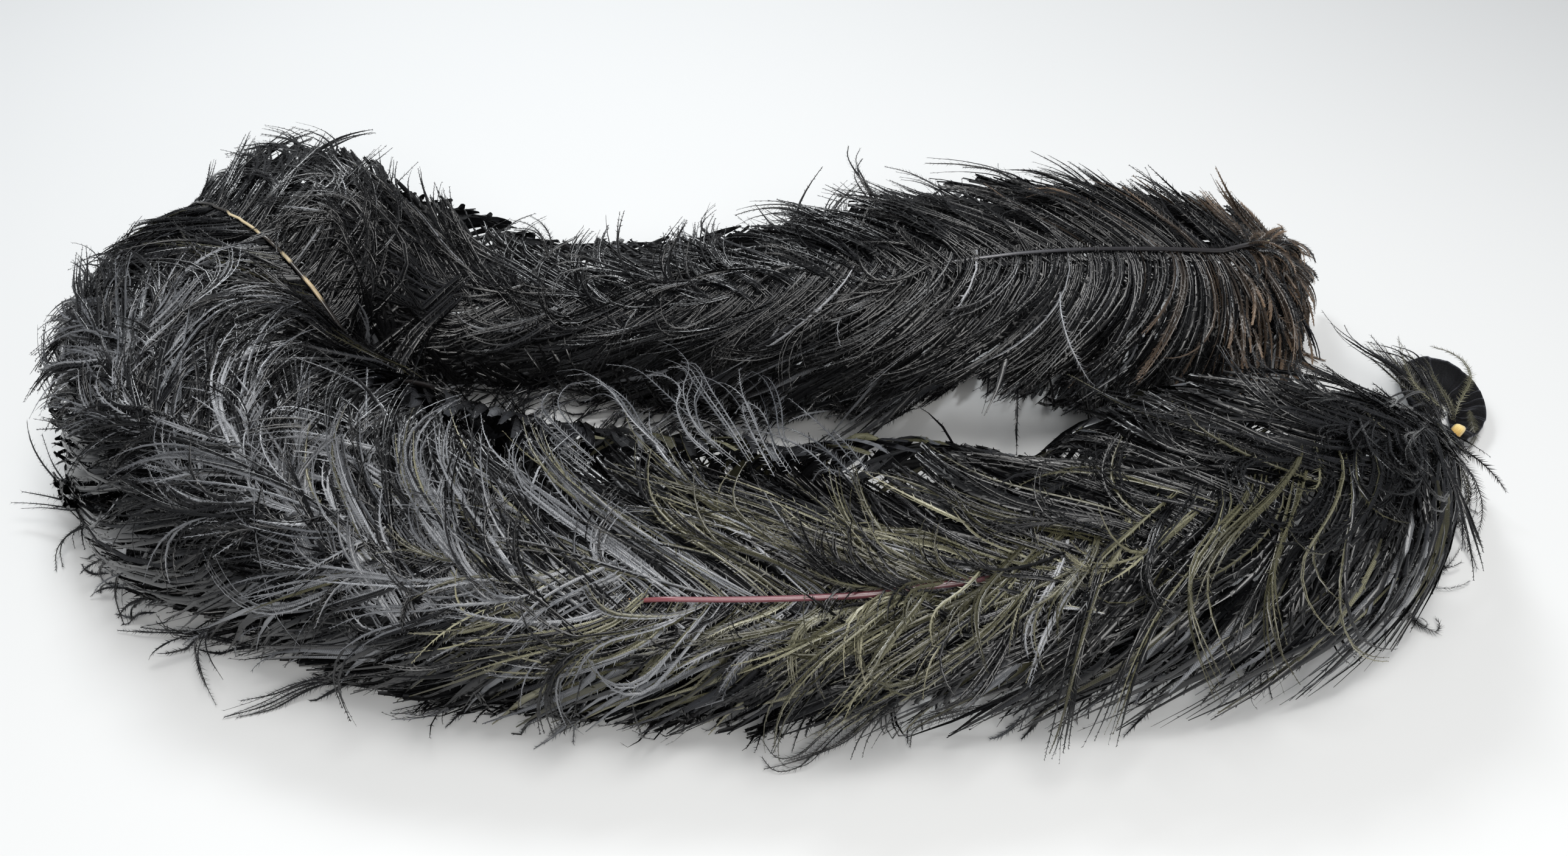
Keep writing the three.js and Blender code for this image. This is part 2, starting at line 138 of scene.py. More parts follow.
def to_su(x, y):
    """Spine coordinates of a point on the plan."""
    d = (GX[None] - x[:, None]) ** 2 + (GY[None] - y[:, None]) ** 2
    i = d.argmin(1)
    lat = -(x - GX[i]) * GTY[i] + (y - GY[i]) * GTX[i]
    return SG[i], lat / np.where(lat > 0, GAO[i], GAI[i])


def smooth(x, a, b):
    t = np.clip((x - a) / (b - a), 0, 1)
    return t * t * (3 - 2 * t)


# ---------------------------------------------------------------- mesh helpers
class Soup:
    """Collects faces with uv and material index, then makes one mesh."""

    def __init__(self):
        self.v, self.f3, self.f4, self.uv, self.n = [], [], [], [], 0
        self.m3, self.m4 = [], []

    def add(self, v, uv, tri=None, quad=None, mat=0):
        v = v.reshape(-1, 3)
        self.v.append(v)
        self.uv.append(uv.reshape(-1, 2))
        if tri is not None and len(tri):
            self.f3.append(tri.reshape(-1, 3) + self.n)
            self.m3.append(np.full(len(tri.reshape(-1, 3)), mat))
        if quad is not None and len(quad):
            self.f4.append(quad.reshape(-1, 4) + self.n)
            self.m4.append(np.full(len(quad.reshape(-1, 4)), mat))
        self.n += len(v)

    def triangles(self):
        return sum(len(f) for f in self.f3) + 2 * sum(len(f) for f in self.f4)

    def make(self, name, mats, smooth_mats=()):
        v = np.vstack(self.v) + OFF
        ease = lambda x, a, w: np.where(x > a, a + w * (1 - np.exp(-np.maximum(x - a, 0) / w)), x)
        v[:, 0] = -ease(-ease(v[:, 0], 508.0, 18.0), 508.0, 18.0)
        v[:, 1] = -ease(-ease(v[:, 1], 252.0, 15.0), 252.0, 16.0)
        v[:, 2] = np.maximum(ease(v[:, 2], 136.0, 14.0), 0.35)
        v = v / 1000.0
        uv = np.vstack(self.uv)
        f3 = np.vstack(self.f3) if self.f3 else np.zeros((0, 3), int)
        f4 = np.vstack(self.f4) if self.f4 else np.zeros((0, 4), int)
        me = bpy.data.meshes.new(name)
        me.vertices.add(len(v))
        me.vertices.foreach_set("co", v.astype(np.float32).ravel())
        li = np.concatenate([f3.ravel(), f4.ravel()])
        me.loops.add(len(li))
        me.loops.foreach_set("vertex_index", li.astype(np.int32))
        nf = len(f3) + len(f4)
        me.polygons.add(nf)
        st = np.concatenate([np.arange(len(f3)) * 3, len(f3) * 3 + np.arange(len(f4)) * 4])
        me.polygons.foreach_set("loop_start", st.astype(np.int32))
        tot = np.concatenate([np.full(len(f3), 3), np.full(len(f4), 4)])
        me.polygons.foreach_set("loop_total", tot.astype(np.int32))
        mi = np.concatenate((self.m3 or [np.zeros(0, int)]) + (self.m4 or [np.zeros(0, int)]))
        me.polygons.foreach_set("material_index", mi.astype(np.int32))
        sm = np.isin(mi, list(smooth_mats)) if smooth_mats else np.zeros(nf, bool)
        me.polygons.foreach_set("use_smooth", sm)
        lay = me.uv_layers.new(name="OFBake")
        lay.data.foreach_set("uv", uv[li].astype(np.float32).ravel())
        me.validate()
        me.update()
        for m in mats:
            me.materials.append(m)
        ob = bpy.data.objects.new(name, me)
        bpy.context.collection.objects.link(ob)
        return ob


def unit(v):
    return v / np.maximum(np.linalg.norm(v, axis=-1, keepdims=True), 1e-9)


def frames(P, N):
    T = unit(np.gradient(P, axis=1))
    S = unit(np.cross(T, N))
    return T, S, np.cross(S, T)


# The table shows between the two runs. Its outline there, on the table, as the eye at EYE over the
# origin sees it: barbs stop short of it, save a few that cross.
EYE = 602.3
OPENING = np.array([(-8, 654), (-11, 671), (15, 676), (49, 674), (75, 678), (101, 687), (115, 704), (135, 721), (151, 719),
                    (141, 698), (175, 694), (199, 682), (222, 681), (200, 664), (171, 635), (147, 645), (123, 652), (99, 658),
                    (74, 666), (49, 661), (23, 652), (3, 648)], float)
GR = np.random.default_rng(77)


def in_opening(P):
    """Which points the photo's eye would see against the opening."""
    Q = P[..., :2] * (EYE / (EYE - P[..., 2]))[..., None]
    x, y = Q[..., 0], Q[..., 1]
    inside = np.zeros(x.shape, bool)
    for (xa, ya), (xb, yb) in zip(OPENING, np.roll(OPENING, -1, 0)):
        if ya != yb:
            inside ^= ((ya > y) != (yb > y)) & (x < xa + (y - ya) * (xb - xa) / (yb - ya))
    return inside


def tuck(P):
    """Draw the near run's inner flank in behind its crest, so that it stays closed from behind."""
    d = np.zeros(P.shape[:2])
    near = (P[:, 0, 1] < 670)[:, None]
    for _ in range(12):
        Y = P.copy()
        Y[..., 1] -= d
        d = np.maximum.accumulate(np.minimum(d + 5.0 * (in_opening(Y) & near), 50), 1)
    d[:, 1:-1] = np.maximum(d[:, 1:-1], 0.5 * (d[:, :-2] + d[:, 2:]))
    Y = P.copy()
    Y[..., 1] -= d
    return Y


def clear_opening(P, N, cross):
    """Shorten the barbs that would hide the opening, and say which are kept."""
    n, K, _ = P.shape
    inside = in_opening(P)
    hit = inside.any(1) & (GR.random(n) >= cross)
    e = np.where(hit, inside.argmax(1) - 0.4 - 0.9 * GR.random(n), K - 1.0)
    t = np.linspace(0, 1, K)[None] * np.maximum(e, 0)[:, None]
    i0 = np.minimum(t.astype(int), K - 2)
    fr, r = (t - i0)[..., None], np.arange(n)[:, None]
    short = lambda X: np.where(hit[:, None, None], X[r, i0] * (1 - fr) + X[r, i0 + 1] * fr, X)
    return short(P), short(N), e > 0.14 * (K - 1)


def add_barbs(soup, P, N, tone, M, rng, w=1.5, bl=4.4, roll=0.5, sweep=0.55, mat=0, wisp=0.2, tooth=0.8, keel=0.75, fat=1.3, opening=True):
    """Barbs: a keeled ribbon of matted barbules, with single barbules standing off both edges."""
    if opening:
        if np.mean(w) >= 1.4:
            P = tuck(P)
        P, N, keep = clear_opening(P, np.broadcast_to(N, P.shape), 0.05 if np.mean(w) < 1.4 else 0.0)
        pick = lambda v: v[keep] if np.ndim(v) and len(v) == len(keep) else v
        P, N, tone, w, bl, roll = [pick(v) for v in (P, N, tone, w, bl, roll)]
        if not len(P):
            return
    n, K, _ = P.shape
    t = np.linspace(0, 1, K)
    T, S0, N0 = frames(P, N)
    a = rng.normal(0, roll, (n, 1)) + rng.normal(0, 0.8, (n, 1)) * t[None]
    S = S0 * np.cos(a)[..., None] + N0 * np.sin(a)[..., None]
    U = -S0 * np.sin(a)[..., None] + N0 * np.cos(a)[..., None]
    wv = np.broadcast_to(np.asarray(w, float), (n,))[:, None]
    prof = (0.45 + 0.55 * smooth(t, 0, 0.25)) * (1 - (1 - wisp) * smooth(t, 0.5, 1.0))
    wv = (wv * prof[None] * rng.uniform(0.78, 1.2, (n, K)))[..., None]
    v = np.stack([P - S * wv - U * wv * keel, P, P + S * wv - U * wv * keel], 2)      # n,K,3,3
    us = 0.02 + 0.44 * t
    uv = np.zeros((n, K, 3, 2))
    uv[..., 0] = us[None, :, None]
    # the ridge vertex sits higher on the tone ramp than the two edges: a painted highlight along each barb's keel
    for q in range(3):
        uv[..., q, 1] = tone[:, None] + (0.03 if q == 1 else 0.0)
    i = np.arange(n)[:, None] * (K * 3) + np.arange(K - 1)[None] * 3
    quad = np.concatenate([np.stack([i, i + 1, i + 4, i + 3], -1), np.stack([i + 1, i + 2, i + 5, i + 4], -1)], 1)
    soup.add(v, uv, quad=quad, mat=mat)
    # barbules
    blv = np.broadcast_to(np.asarray(bl, float), (n,))[:, None]
    step = (np.linalg.norm(np.diff(P, axis=1), axis=2).sum(1) / M)[:, None]
    for side in (-1, 1):
        tj = (np.arange(M)[None] + 0.5 + rng.uniform(-0.4, 0.4, (n, M))) / M
        tj = tj ** 0.85
        q = tj * (K - 1)
        i0 = np.minimum(q.astype(int), K - 2)
        fr = (q - i0)[..., None]
        r = np.arange(n)[:, None]
        lerp = lambda X: X[r, i0] * (1 - fr) + X[r, i0 + 1] * fr
        Pj, Tj, Sj, Uj = lerp(P), lerp(T), lerp(S), lerp(U)
        pr = (0.6 + 0.4 * smooth(tj, 0, 0.3)) * (1 - (1 - wisp) * 0.75 * smooth(tj, 0.55, 1.0))
        ln = blv * pr * rng.uniform(0.70, 1.15, (n, M))
        sw = sweep + 0.55 * tj + rng.normal(0, 0.12, (n, M))
        dr = rng.normal(-0.18, 0.16, (n, M))
        d = side * Sj * np.cos(sw)[..., None] + Tj * np.sin(sw)[..., None] + Uj * dr[..., None]
        b = Tj * np.minimum(step * tooth * 0.5, fat)[..., None]
        v = np.stack([Pj - b, Pj + b, Pj + d * ln[..., None]], 2)
        uv = np.zeros((n, M, 3, 2))
        u0 = 0.53 + 0.44 * tj
        uv[..., 0, 0], uv[..., 1, 0], uv[..., 2, 0] = u0 - 0.004, u0 + 0.004, u0 + 0.002
        uv[..., 0, 1] = uv[..., 1, 1] = tone[:, None]
        uv[..., 2, 1] = tone[:, None] + 0.010
        k = np.arange(n * M).reshape(n, M, 1) * 3
        tri = np.concatenate([k, k + 1, k + 2], -1) if side > 0 else np.concatenate([k + 1, k, k + 2], -1)
        soup.add(v, uv, tri=tri, mat=mat)


def add_tube(soup, P, R, sides=8, mat=0, uv_v=(0.0, 1.0), squash=1.0, N=None, cap=True, uv_u=(0.02, 0.98)):
    """A closed tube along P with radius R."""
    P = np.asarray(P, float)
    K = len(P)
    T = unit(np.gradient(P, axis=0))
    if N is None:
        N = np.tile([0.0, 0.0, 1.0], (K, 1))
    S = unit(np.cross(T, N))
    U = np.cross(S, T)
    R = np.broadcast_to(np.asarray(R, float), (K,))
    th = np.linspace(0, 2 * np.pi, sides, endpoint=False)
    ring = (S[:, None] * np.cos(th)[None, :, None] + U[:, None] * (np.sin(th) * squash)[None, :, None])
    v = P[:, None] + ring * R[:, None, None]
    t = np.linspace(0, 1, K)
    uv = np.zeros((K, sides, 2))
    uv[..., 0] = uv_u[0] + (uv_u[1] - uv_u[0]) * t[:, None]
    fold = 1 - np.abs(np.linspace(-1, 1, sides, endpoint=False))
    uv[..., 1] = uv_v[0] + (uv_v[1] - uv_v[0]) * (0.1 + 0.8 * fold)[None]
    i = np.arange(K - 1)[:, None] * sides + np.arange(sides)[None]
    j = np.arange(K - 1)[:, None] * sides + (np.arange(sides)[None] + 1) % sides
    quad = np.stack([i, j, j + sides, i + sides], -1)
    base = soup.n
    soup.add(v, uv, quad=quad, mat=mat)
    if cap:
        for k, rev in ((0, True), (K - 1, False)):
            c = np.vstack([P[k][None], v[k]])
            w = np.vstack([[(uv[k, 0, 0], sum(uv_v) / 2)], uv[k]])
            idx = np.array([[0, 1 + q, 1 + (q + 1) % sides] for q in range(sides)])
            if rev:
                idx = idx[:, [0, 2, 1]]
            soup.add(c, w, tri=idx, mat=mat)
    return base


# ------------------------------------------------------------------ materials
def new_mat(name):
    m = bpy.data.materials.new(name)
    m.use_nodes = True
    nt = m.node_tree
    bs = nt.nodes["Principled BSDF"]
    return m, nt, bs


def ramp(nt, stops, interp="LINEAR"):
    r = nt.nodes.new("ShaderNodeValToRGB")
    r.color_ramp.interpolation = interp
    e = r.color_ramp.elements
    while len(e) > 1:
        e.remove(e[-1])
    e[0].position, e[0].color = stops[0][0], (*stops[0][1], 1)
    for p, c in stops[1:]:
        q = e.new(p)
        q.color = (*c, 1)
    return r


def feather_material(name, gain=1.0):
    """Colour runs along each barb (u) and by tone row (v): black, blue black rising to a painted silver sheen, olive,
    brown.
    """
    m, nt, bs = new_mat(name)
    L = nt.links.new
    uvn = nt.nodes.new("ShaderNodeUVMap")
    uvn.uv_map = "OFBake"
    sep = nt.nodes.new("ShaderNodeSeparateXYZ")
    L(uvn.outputs["UV"], sep.inputs[0])
    # distance along the barb, the same for shaft and barbules
    w = nt.nodes.new("ShaderNodeMath"); w.operation = "FRACT"
    k = nt.nodes.new("ShaderNodeMath"); k.operation = "MULTIPLY"; k.inputs[1].default_value = 2.0
    L(sep.outputs["X"], k.inputs[0]); L(k.outputs[0], w.inputs[0])
    g = gain
    # tone rows: black 0.01-0.20, blue black 0.28-0.415 rising to the light grey at 0.45 that is painted silver sheen,
    # olive 0.52-0.69, brown 0.78-0.95
    root = ramp(nt, [(0.00, (0.0014 * g, 0.0015 * g, 0.0018 * g)), (0.14, (0.0045 * g, 0.0047 * g, 0.0056 * g)), (0.22, (0.017 * g, 0.0175 * g, 0.020 * g)),
                     (0.27, (0.022 * g, 0.025 * g, 0.030 * g)), (0.45, (0.37 * g, 0.38 * g, 0.40 * g)),
                     (0.50, (0.020 * g, 0.019 * g, 0.012 * g)), (0.60, (0.075 * g, 0.072 * g, 0.042 * g)),
                     (0.72, (0.42 * g, 0.41 * g, 0.29 * g)),
                     (0.77, (0.010 * g, 0.008 * g, 0.007 * g)), (1.0, (0.030 * g, 0.022 * g, 0.016 * g))])
    tip = ramp(nt, [(0.00, (0.0018 * g, 0.0019 * g, 0.0021 * g)), (0.14, (0.006 * g, 0.0058 * g, 0.0062 * g)), (0.22, (0.022 * g, 0.0215 * g, 0.022 * g)),
                    (0.27, (0.018 * g, 0.019 * g, 0.023 * g)), (0.45, (0.26 * g, 0.268 * g, 0.285 * g)),
                    (0.50, (0.018 * g, 0.017 * g, 0.011 * g)), (0.60, (0.055 * g, 0.052 * g, 0.032 * g)),
                    (0.72, (0.33 * g, 0.31 * g, 0.21 * g)),
                    (0.77, (0.06 * g, 0.042 * g, 0.030 * g)), (1.0, (0.27 * g, 0.19 * g, 0.13 * g))])
    L(sep.outputs["Y"], root.inputs[0]); L(sep.outputs["Y"], tip.inputs[0])
    tr = ramp(nt, [(0.0, (0, 0, 0)), (0.45, (0.12, 0.12, 0.12)), (0.85, (1, 1, 1))])
    L(w.outputs[0], tr.inputs[0])
    mx = nt.nodes.new("ShaderNodeMix"); mx.data_type = "RGBA"
    L(tr.outputs[0], mx.inputs["Factor"]); L(root.outputs[0], mx.inputs["A"]); L(tip.outputs[0], mx.inputs["B"])
    # fine streaks from barb to barb and along each barb
    sc = nt.nodes.new("ShaderNodeMapping"); sc.inputs["Scale"].default_value = (14.0, 260.0, 1.0)
    L(uvn.outputs["UV"], sc.inputs[0])
    nz = nt.nodes.new("ShaderNodeTexNoise"); nz.inputs["Scale"].default_value = 1.0
    nz.inputs["Detail"].default_value = 3.0
    L(sc.outputs[0], nz.inputs["Vector"])
    mr = nt.nodes.new("ShaderNodeMapRange")
    mr.inputs["From Min"].default_value, mr.inputs["From Max"].default_value = 0.25, 0.75
    mr.inputs["To Min"].default_value, mr.inputs["To Max"].default_value = 0.55, 1.55
    L(nz.outputs["Fac"], mr.inputs["Value"])
    mu = nt.nodes.new("ShaderNodeMix"); mu.data_type = "RGBA"; mu.blend_type = "MULTIPLY"
    mu.inputs["Factor"].default_value = 1.0
    cb = nt.nodes.new("ShaderNodeCombineXYZ")
    for q in range(3):
        L(mr.outputs[0], cb.inputs[q])
    L(mx.outputs["Result"], mu.inputs["A"]); L(cb.outputs[0], mu.inputs["B"])
    # the combed barbules: fine slanting bars either side of the barb
    pu = nt.nodes.new("ShaderNodeMath"); pu.operation = "MULTIPLY"; pu.inputs[1].default_value = 205.0 * 2 * math.pi
    pv = nt.nodes.new("ShaderNodeMath"); pv.operation = "MULTIPLY_ADD"; pv.inputs[1].default_value = -33.0 * 2 * math.pi
    sn = nt.nodes.new("ShaderNodeMath"); sn.operation = "SINE"
    L(sep.outputs["X"], pu.inputs[0]); L(sep.outputs["Y"], pv.inputs[0]); L(pu.outputs[0], pv.inputs[2]); L(pv.outputs[0], sn.inputs[0])
    bar = nt.nodes.new("ShaderNodeMapRange")
    bar.inputs["From Min"].default_value, bar.inputs["From Max"].default_value = -1.0, 1.0
    bar.inputs["To Min"].default_value, bar.inputs["To Max"].default_value = 0.60, 1.35
    L(sn.outputs[0], bar.inputs["Value"])
    sc2 = nt.nodes.new("ShaderNodeVectorMath"); sc2.operation = "SCALE"
    L(mu.outputs["Result"], sc2.inputs[0]); L(bar.outputs[0], sc2.inputs["Scale"])
    L(sc2.outputs[0], bs.inputs["Base Color"])
    rr = nt.nodes.new("ShaderNodeMapRange")
    rr.inputs["To Min"].default_value, rr.inputs["To Max"].default_value = 0.16, 0.32
    L(nz.outputs["Fac"], rr.inputs["Value"])
    bb = nt.nodes.new("ShaderNodeMath"); bb.operation = "GREATER_THAN"; bb.inputs[1].default_value = 0.5
    ra = nt.nodes.new("ShaderNodeMath"); ra.operation = "MULTIPLY_ADD"; ra.inputs[1].default_value = 0.14
    L(sep.outputs["X"], bb.inputs[0]); L(bb.outputs[0], ra.inputs[0]); L(rr.outputs[0], ra.inputs[2])
    L(ra.outputs[0], bs.inputs["Roughness"])
    bs.inputs["Specular IOR Level"].default_value = 0.48
    return m


def shaft_material(name, stops, rough=0.26, coat=0.35):
    """Glossy dyed keratin along u, with fine lengthwise streaks."""
    m, nt, bs = new_mat(name)
    L = nt.links.new
    uvn = nt.nodes.new("ShaderNodeUVMap"); uvn.uv_map = "OFBake"
    sep = nt.nodes.new("ShaderNodeSeparateXYZ"); L(uvn.outputs["UV"], sep.inputs[0])
    r = ramp(nt, stops)
    L(sep.outputs["X"], r.inputs[0])
    mp = nt.nodes.new("ShaderNodeMapping"); mp.inputs["Scale"].default_value = (6.0, 40.0, 1.0)
    L(uvn.outputs["UV"], mp.inputs[0])
    nz = nt.nodes.new("ShaderNodeTexNoise"); nz.inputs["Scale"].default_value = 1.0; nz.inputs["Detail"].default_value = 4
    L(mp.outputs[0], nz.inputs["Vector"])
    mr = nt.nodes.new("ShaderNodeMapRange")
    mr.inputs["To Min"].default_value, mr.inputs["To Max"].default_value = 0.6, 1.4
    L(nz.outputs["Fac"], mr.inputs["Value"])
    cb = nt.nodes.new("ShaderNodeCombineXYZ")
    for q in range(3):
        L(mr.outputs[0], cb.inputs[q])
    mu = nt.nodes.new("ShaderNodeMix"); mu.data_type = "RGBA"; mu.blend_type = "MULTIPLY"
    mu.inputs["Factor"].default_value = 1.0
    L(r.outputs[0], mu.inputs["A"]); L(cb.outputs[0], mu.inputs["B"])
    L(mu.outputs["Result"], bs.inputs["Base Color"])
    rr = nt.nodes.new("ShaderNodeMapRange")
    rr.inputs["To Min"].default_value, rr.inputs["To Max"].default_value = rough - 0.06, rough + 0.12
    L(nz.outputs["Fac"], rr.inputs["Value"]); L(rr.outputs[0], bs.inputs["Roughness"])
    bp = nt.nodes.new("ShaderNodeBump"); bp.inputs["Strength"].default_value = 0.15
    bp.inputs["Distance"].default_value = 0.0004
    L(nz.outputs["Fac"], bp.inputs["Height"]); L(bp.outputs[0], bs.inputs["Normal"])
    bs.inputs["Coat Weight"].default_value = coat
    bs.inputs["Coat Roughness"].default_value = 0.18
    return m


MAT_BARB = feather_material("barbs_dyed_painted_sheen")
BLK = (0.012, 0.012, 0.014)
MAT_SHAFT_DARK = shaft_material("shaft_dark", [
    (0.0, (0.010, 0.008, 0.008)), (0.068, (0.014, 0.011, 0.010)), (0.071, (0.62, 0.54, 0.30)),
    (0.098, (0.68, 0.60, 0.36)), (0.101, (0.016, 0.013, 0.013)), (0.45, (0.022, 0.021, 0.024)),
    (0.60, (0.09, 0.09, 0.10)), (1.0, (0.20, 0.20, 0.22))])
MAT_SHAFT_MAUVE = shaft_material("shaft_mauve", [
    (0.0, (0.03, 0.012, 0.012)), (0.25, (0.07, 0.022, 0.026)), (0.42, (0.16, 0.05, 0.062)), (0.55, (0.19, 0.055, 0.065)),
    (0.575, (0.20, 0.075, 0.07)), (0.585, (0.42, 0.24, 0.08)), (0.597, (0.16, 0.05, 0.05)), (1.0, (0.05, 0.03, 0.03))])
MAT_SHAFT_CREAM = shaft_material("shaft_cream_flecks", [
    (0.0, (0.014, 0.012, 0.012)), (0.335, (0.02, 0.017, 0.015)), (0.345, (0.42, 0.33, 0.20)), (0.375, (0.50, 0.40, 0.25)),
    (0.385, (0.02, 0.017, 0.015)), (0.415, (0.02, 0.017, 0.015)), (0.42, (0.50, 0.42, 0.28)), (0.44, (0.46, 0.38, 0.24)),
    (0.445, (0.03, 0.025, 0.02)), (0.50, (0.06, 0.05, 0.04)), (0.52, (0.44, 0.36, 0.22)), (0.62, (0.56, 0.47, 0.30)),
    (0.64, (0.03, 0.025, 0.02)), (1.0, (0.014, 0.012, 0.012))])
MAT_SHAFT_PLAIN = shaft_material("shaft_black", [(0.0, (0.012, 0.010, 0.010)), (1.0, (0.03, 0.03, 0.032))])
MAT_QUILL = shaft_material("quill_amber", [
    (0.0, (0.03, 0.018, 0.010)), (0.45, (0.16, 0.085, 0.025)), (0.62, (0.46, 0.29, 0.08)),
    (0.80, (0.74, 0.56, 0.22)), (1.0, (0.86, 0.78, 0.52))], rough=0.24, coat=0.6)

# --------------------------------------------------------------------- plumes
RACH = np.array([(0, 0.0), (60, 0.15), (160, 0.25), (300, 0.4), (380, 0.64), (460, 0.73),
                 (600, 0.72), (700, 0.6), (820, 0.45), (1180, -0.6), (1300, -0.52), (1500, -0.5),
                 (1680, -0.5), (1740, -0.35), (1800, 0.05)], float)


def run_path(s0, s1, n=120, table=RACH):
    s = np.linspace(s0, s1, n)
    return s, np.interp(s, table[:, 0], table[:, 1])


def plan_path(pts, n=120):
    P = catmull(np.array(pts, float), 30)
    d = np.r_[0, np.cumsum(np.hypot(*np.diff(P, axis=0).T))]
    q = np.linspace(0, d[-1], n)
    x, y = np.interp(q, d, P[:, 0]), np.interp(q, d, P[:, 1])
    return to_su(x, y)


class Plume:
    def __init__(self, s, u, row, under=False, side_u=1):
        self.row, self.under = row, under
        self.s = np.asarray(s, float)
        self.phi = phi_of(np.asarray(u, float))
        if under:
            # a point on the underside: u is the lateral place there
            ps = np.arcsin(np.clip(np.power(np.abs(u), 1 / 0.75), 0, 1))
            self.phi = np.sign(u) * (math.pi - ps)
        P, N, _, _, f = surface(self.s, self.phi, 0 * self.s, under)
        d = np.hypot(*np.diff(P[:, :2], axis=0).T)
        keep = np.r_[True, d > 0.3]                    # a path that has reached the edge stops there
        P, N, self.s, self.phi = P[keep], N[keep], self.s[keep], self.phi[keep]
        self.x = np.r_[0, np.cumsum(np.hypot(*np.diff(P[:, :2], axis=0).T))]
        self.L = self.x[-1]
        g = np.gradient(P[:, :2], self.x, axis=0)
        ker = np.ones(9) / 9
        g = np.stack([np.convolve(np.pad(g[:, k], 4, mode="edge"), ker, "valid") for k in (0, 1)], 1)
        self.T = unit(g)
        self.P, self.N = P, N

    def at(self, x):
        return (np.interp(x, self.x, self.s), np.interp(x, self.x, self.phi))

    def heading(self, x):
        x = np.minimum(x, self.L)
        t = np.stack([np.interp(x, self.x, self.T[:, 0]), np.interp(x, self.x, self.T[:, 1])], -1)
        return unit(t)


def locks(n, rng, lo=4, hi=10):
    """Lock number and place within the lock (-0.5 .. 0.5) of n barbs in a row."""
    idx, pos, i, k = np.zeros(n, int), np.zeros(n), 0, 0
    while i < n:
        m = int(rng.integers(lo, hi))
        j = min(n, i + m)
        idx[i:j] = k
        pos[i:j] = (np.arange(i, j) - i + 0.5) / m - 0.5
        i, k = j, k + 1
    return idx, pos, k


def grow(plume, side, x0, L, th0, th1, tau, curl, curl_at, lift, tip_lift, K, rng, across=0.0, arch=0.0):
    """Integrates the barbs over the boa's surface. Angles are from the shaft, in radians."""
    n = len(x0)
    s, phi = plume.at(x0)
    s, phi = s.copy(), phi.copy()
    if plume.under:
        phi = np.where(phi * side > 0, phi, side * (math.pi - 0.05))
    else:
        phi = phi - side * across / surface(s, phi, 0 * s, False)[2]
    out_s, out_p = np.zeros((n, K)), np.zeros((n, K))
    out_s[:, 0], out_p[:, 0] = s, phi
    prog = np.zeros(n)
    sub = 2
    TT = 1 - (1 - np.linspace(0, 1, K)) ** 1.35          # closer together where the tips curl
    for k in range(1, K):
        for j in range(sub):
            t = TT[k - 1] + (TT[k] - TT[k - 1]) * (j + 0.5) / sub
            th = th1 + (th0 - th1) * np.exp(-t / tau) + curl * smooth(t, curl_at, 1.0)
            dl = L * (TT[k] - TT[k - 1]) / sub
            T = plume.heading(x0 + prog)
            _, _, g, sc, f = surface(s, phi, 0 * s, plume.under)
            c = T[:, 0] * f.tx + T[:, 1] * f.ty
            e = -T[:, 0] * f.ty + T[:, 1] * f.tx
            bx, by = plume.row * -e, plume.row * c
            if plume.under:
                dx, dy = np.cos(th) * np.sign(c), -side * np.sin(th)
            else:
                dx = np.cos(th) * c + side * np.sin(th) * bx
                dy = np.cos(th) * e + side * np.sin(th) * by
                # barbs that have reached the table turn and lie along it
                a = np.where(phi > 0, f.ao, f.ai)
                over = np.maximum(np.abs(phi) - HP - (MID * f.h - 1.5) / a, 0) * a
                dy = np.where(dy * phi > 0, dy / (1 + (over / 8) ** 2), dy)
                dx = np.sign(dx) * np.sqrt(np.maximum(1 - dy * dy, 0))
            s = np.clip(s + dx * dl / sc, 0, LEN)
            phi = phi + dy * dl / g
            prog = prog + np.cos(th) * dl
        out_s[:, k], out_p[:, k] = s, phi
    t = TT[None]
    lf = lift[:, None] * smooth(t, 0.0, 0.22) + tip_lift[:, None] * t ** 2.2 + arch * np.sin(np.pi * np.minimum(t * 1.6, 1))
    P, N, _, _, f = surface(out_s, out_p, lf, plume.under)
    P[..., 2] = np.maximum(P[..., 2], 0.8 + rng.uniform(0, 1.6, (n, 1)))
    return P, N


def drift(x, rng, amp, waves=(34, 55, 90)):
    """Slow wander along the shaft, so that neighbouring locks lean the same way."""
    return sum(amp / len(waves) * 1.6 * np.sin(2 * math.pi * x / w + rng.uniform(0, 6.28)) for w in waves)


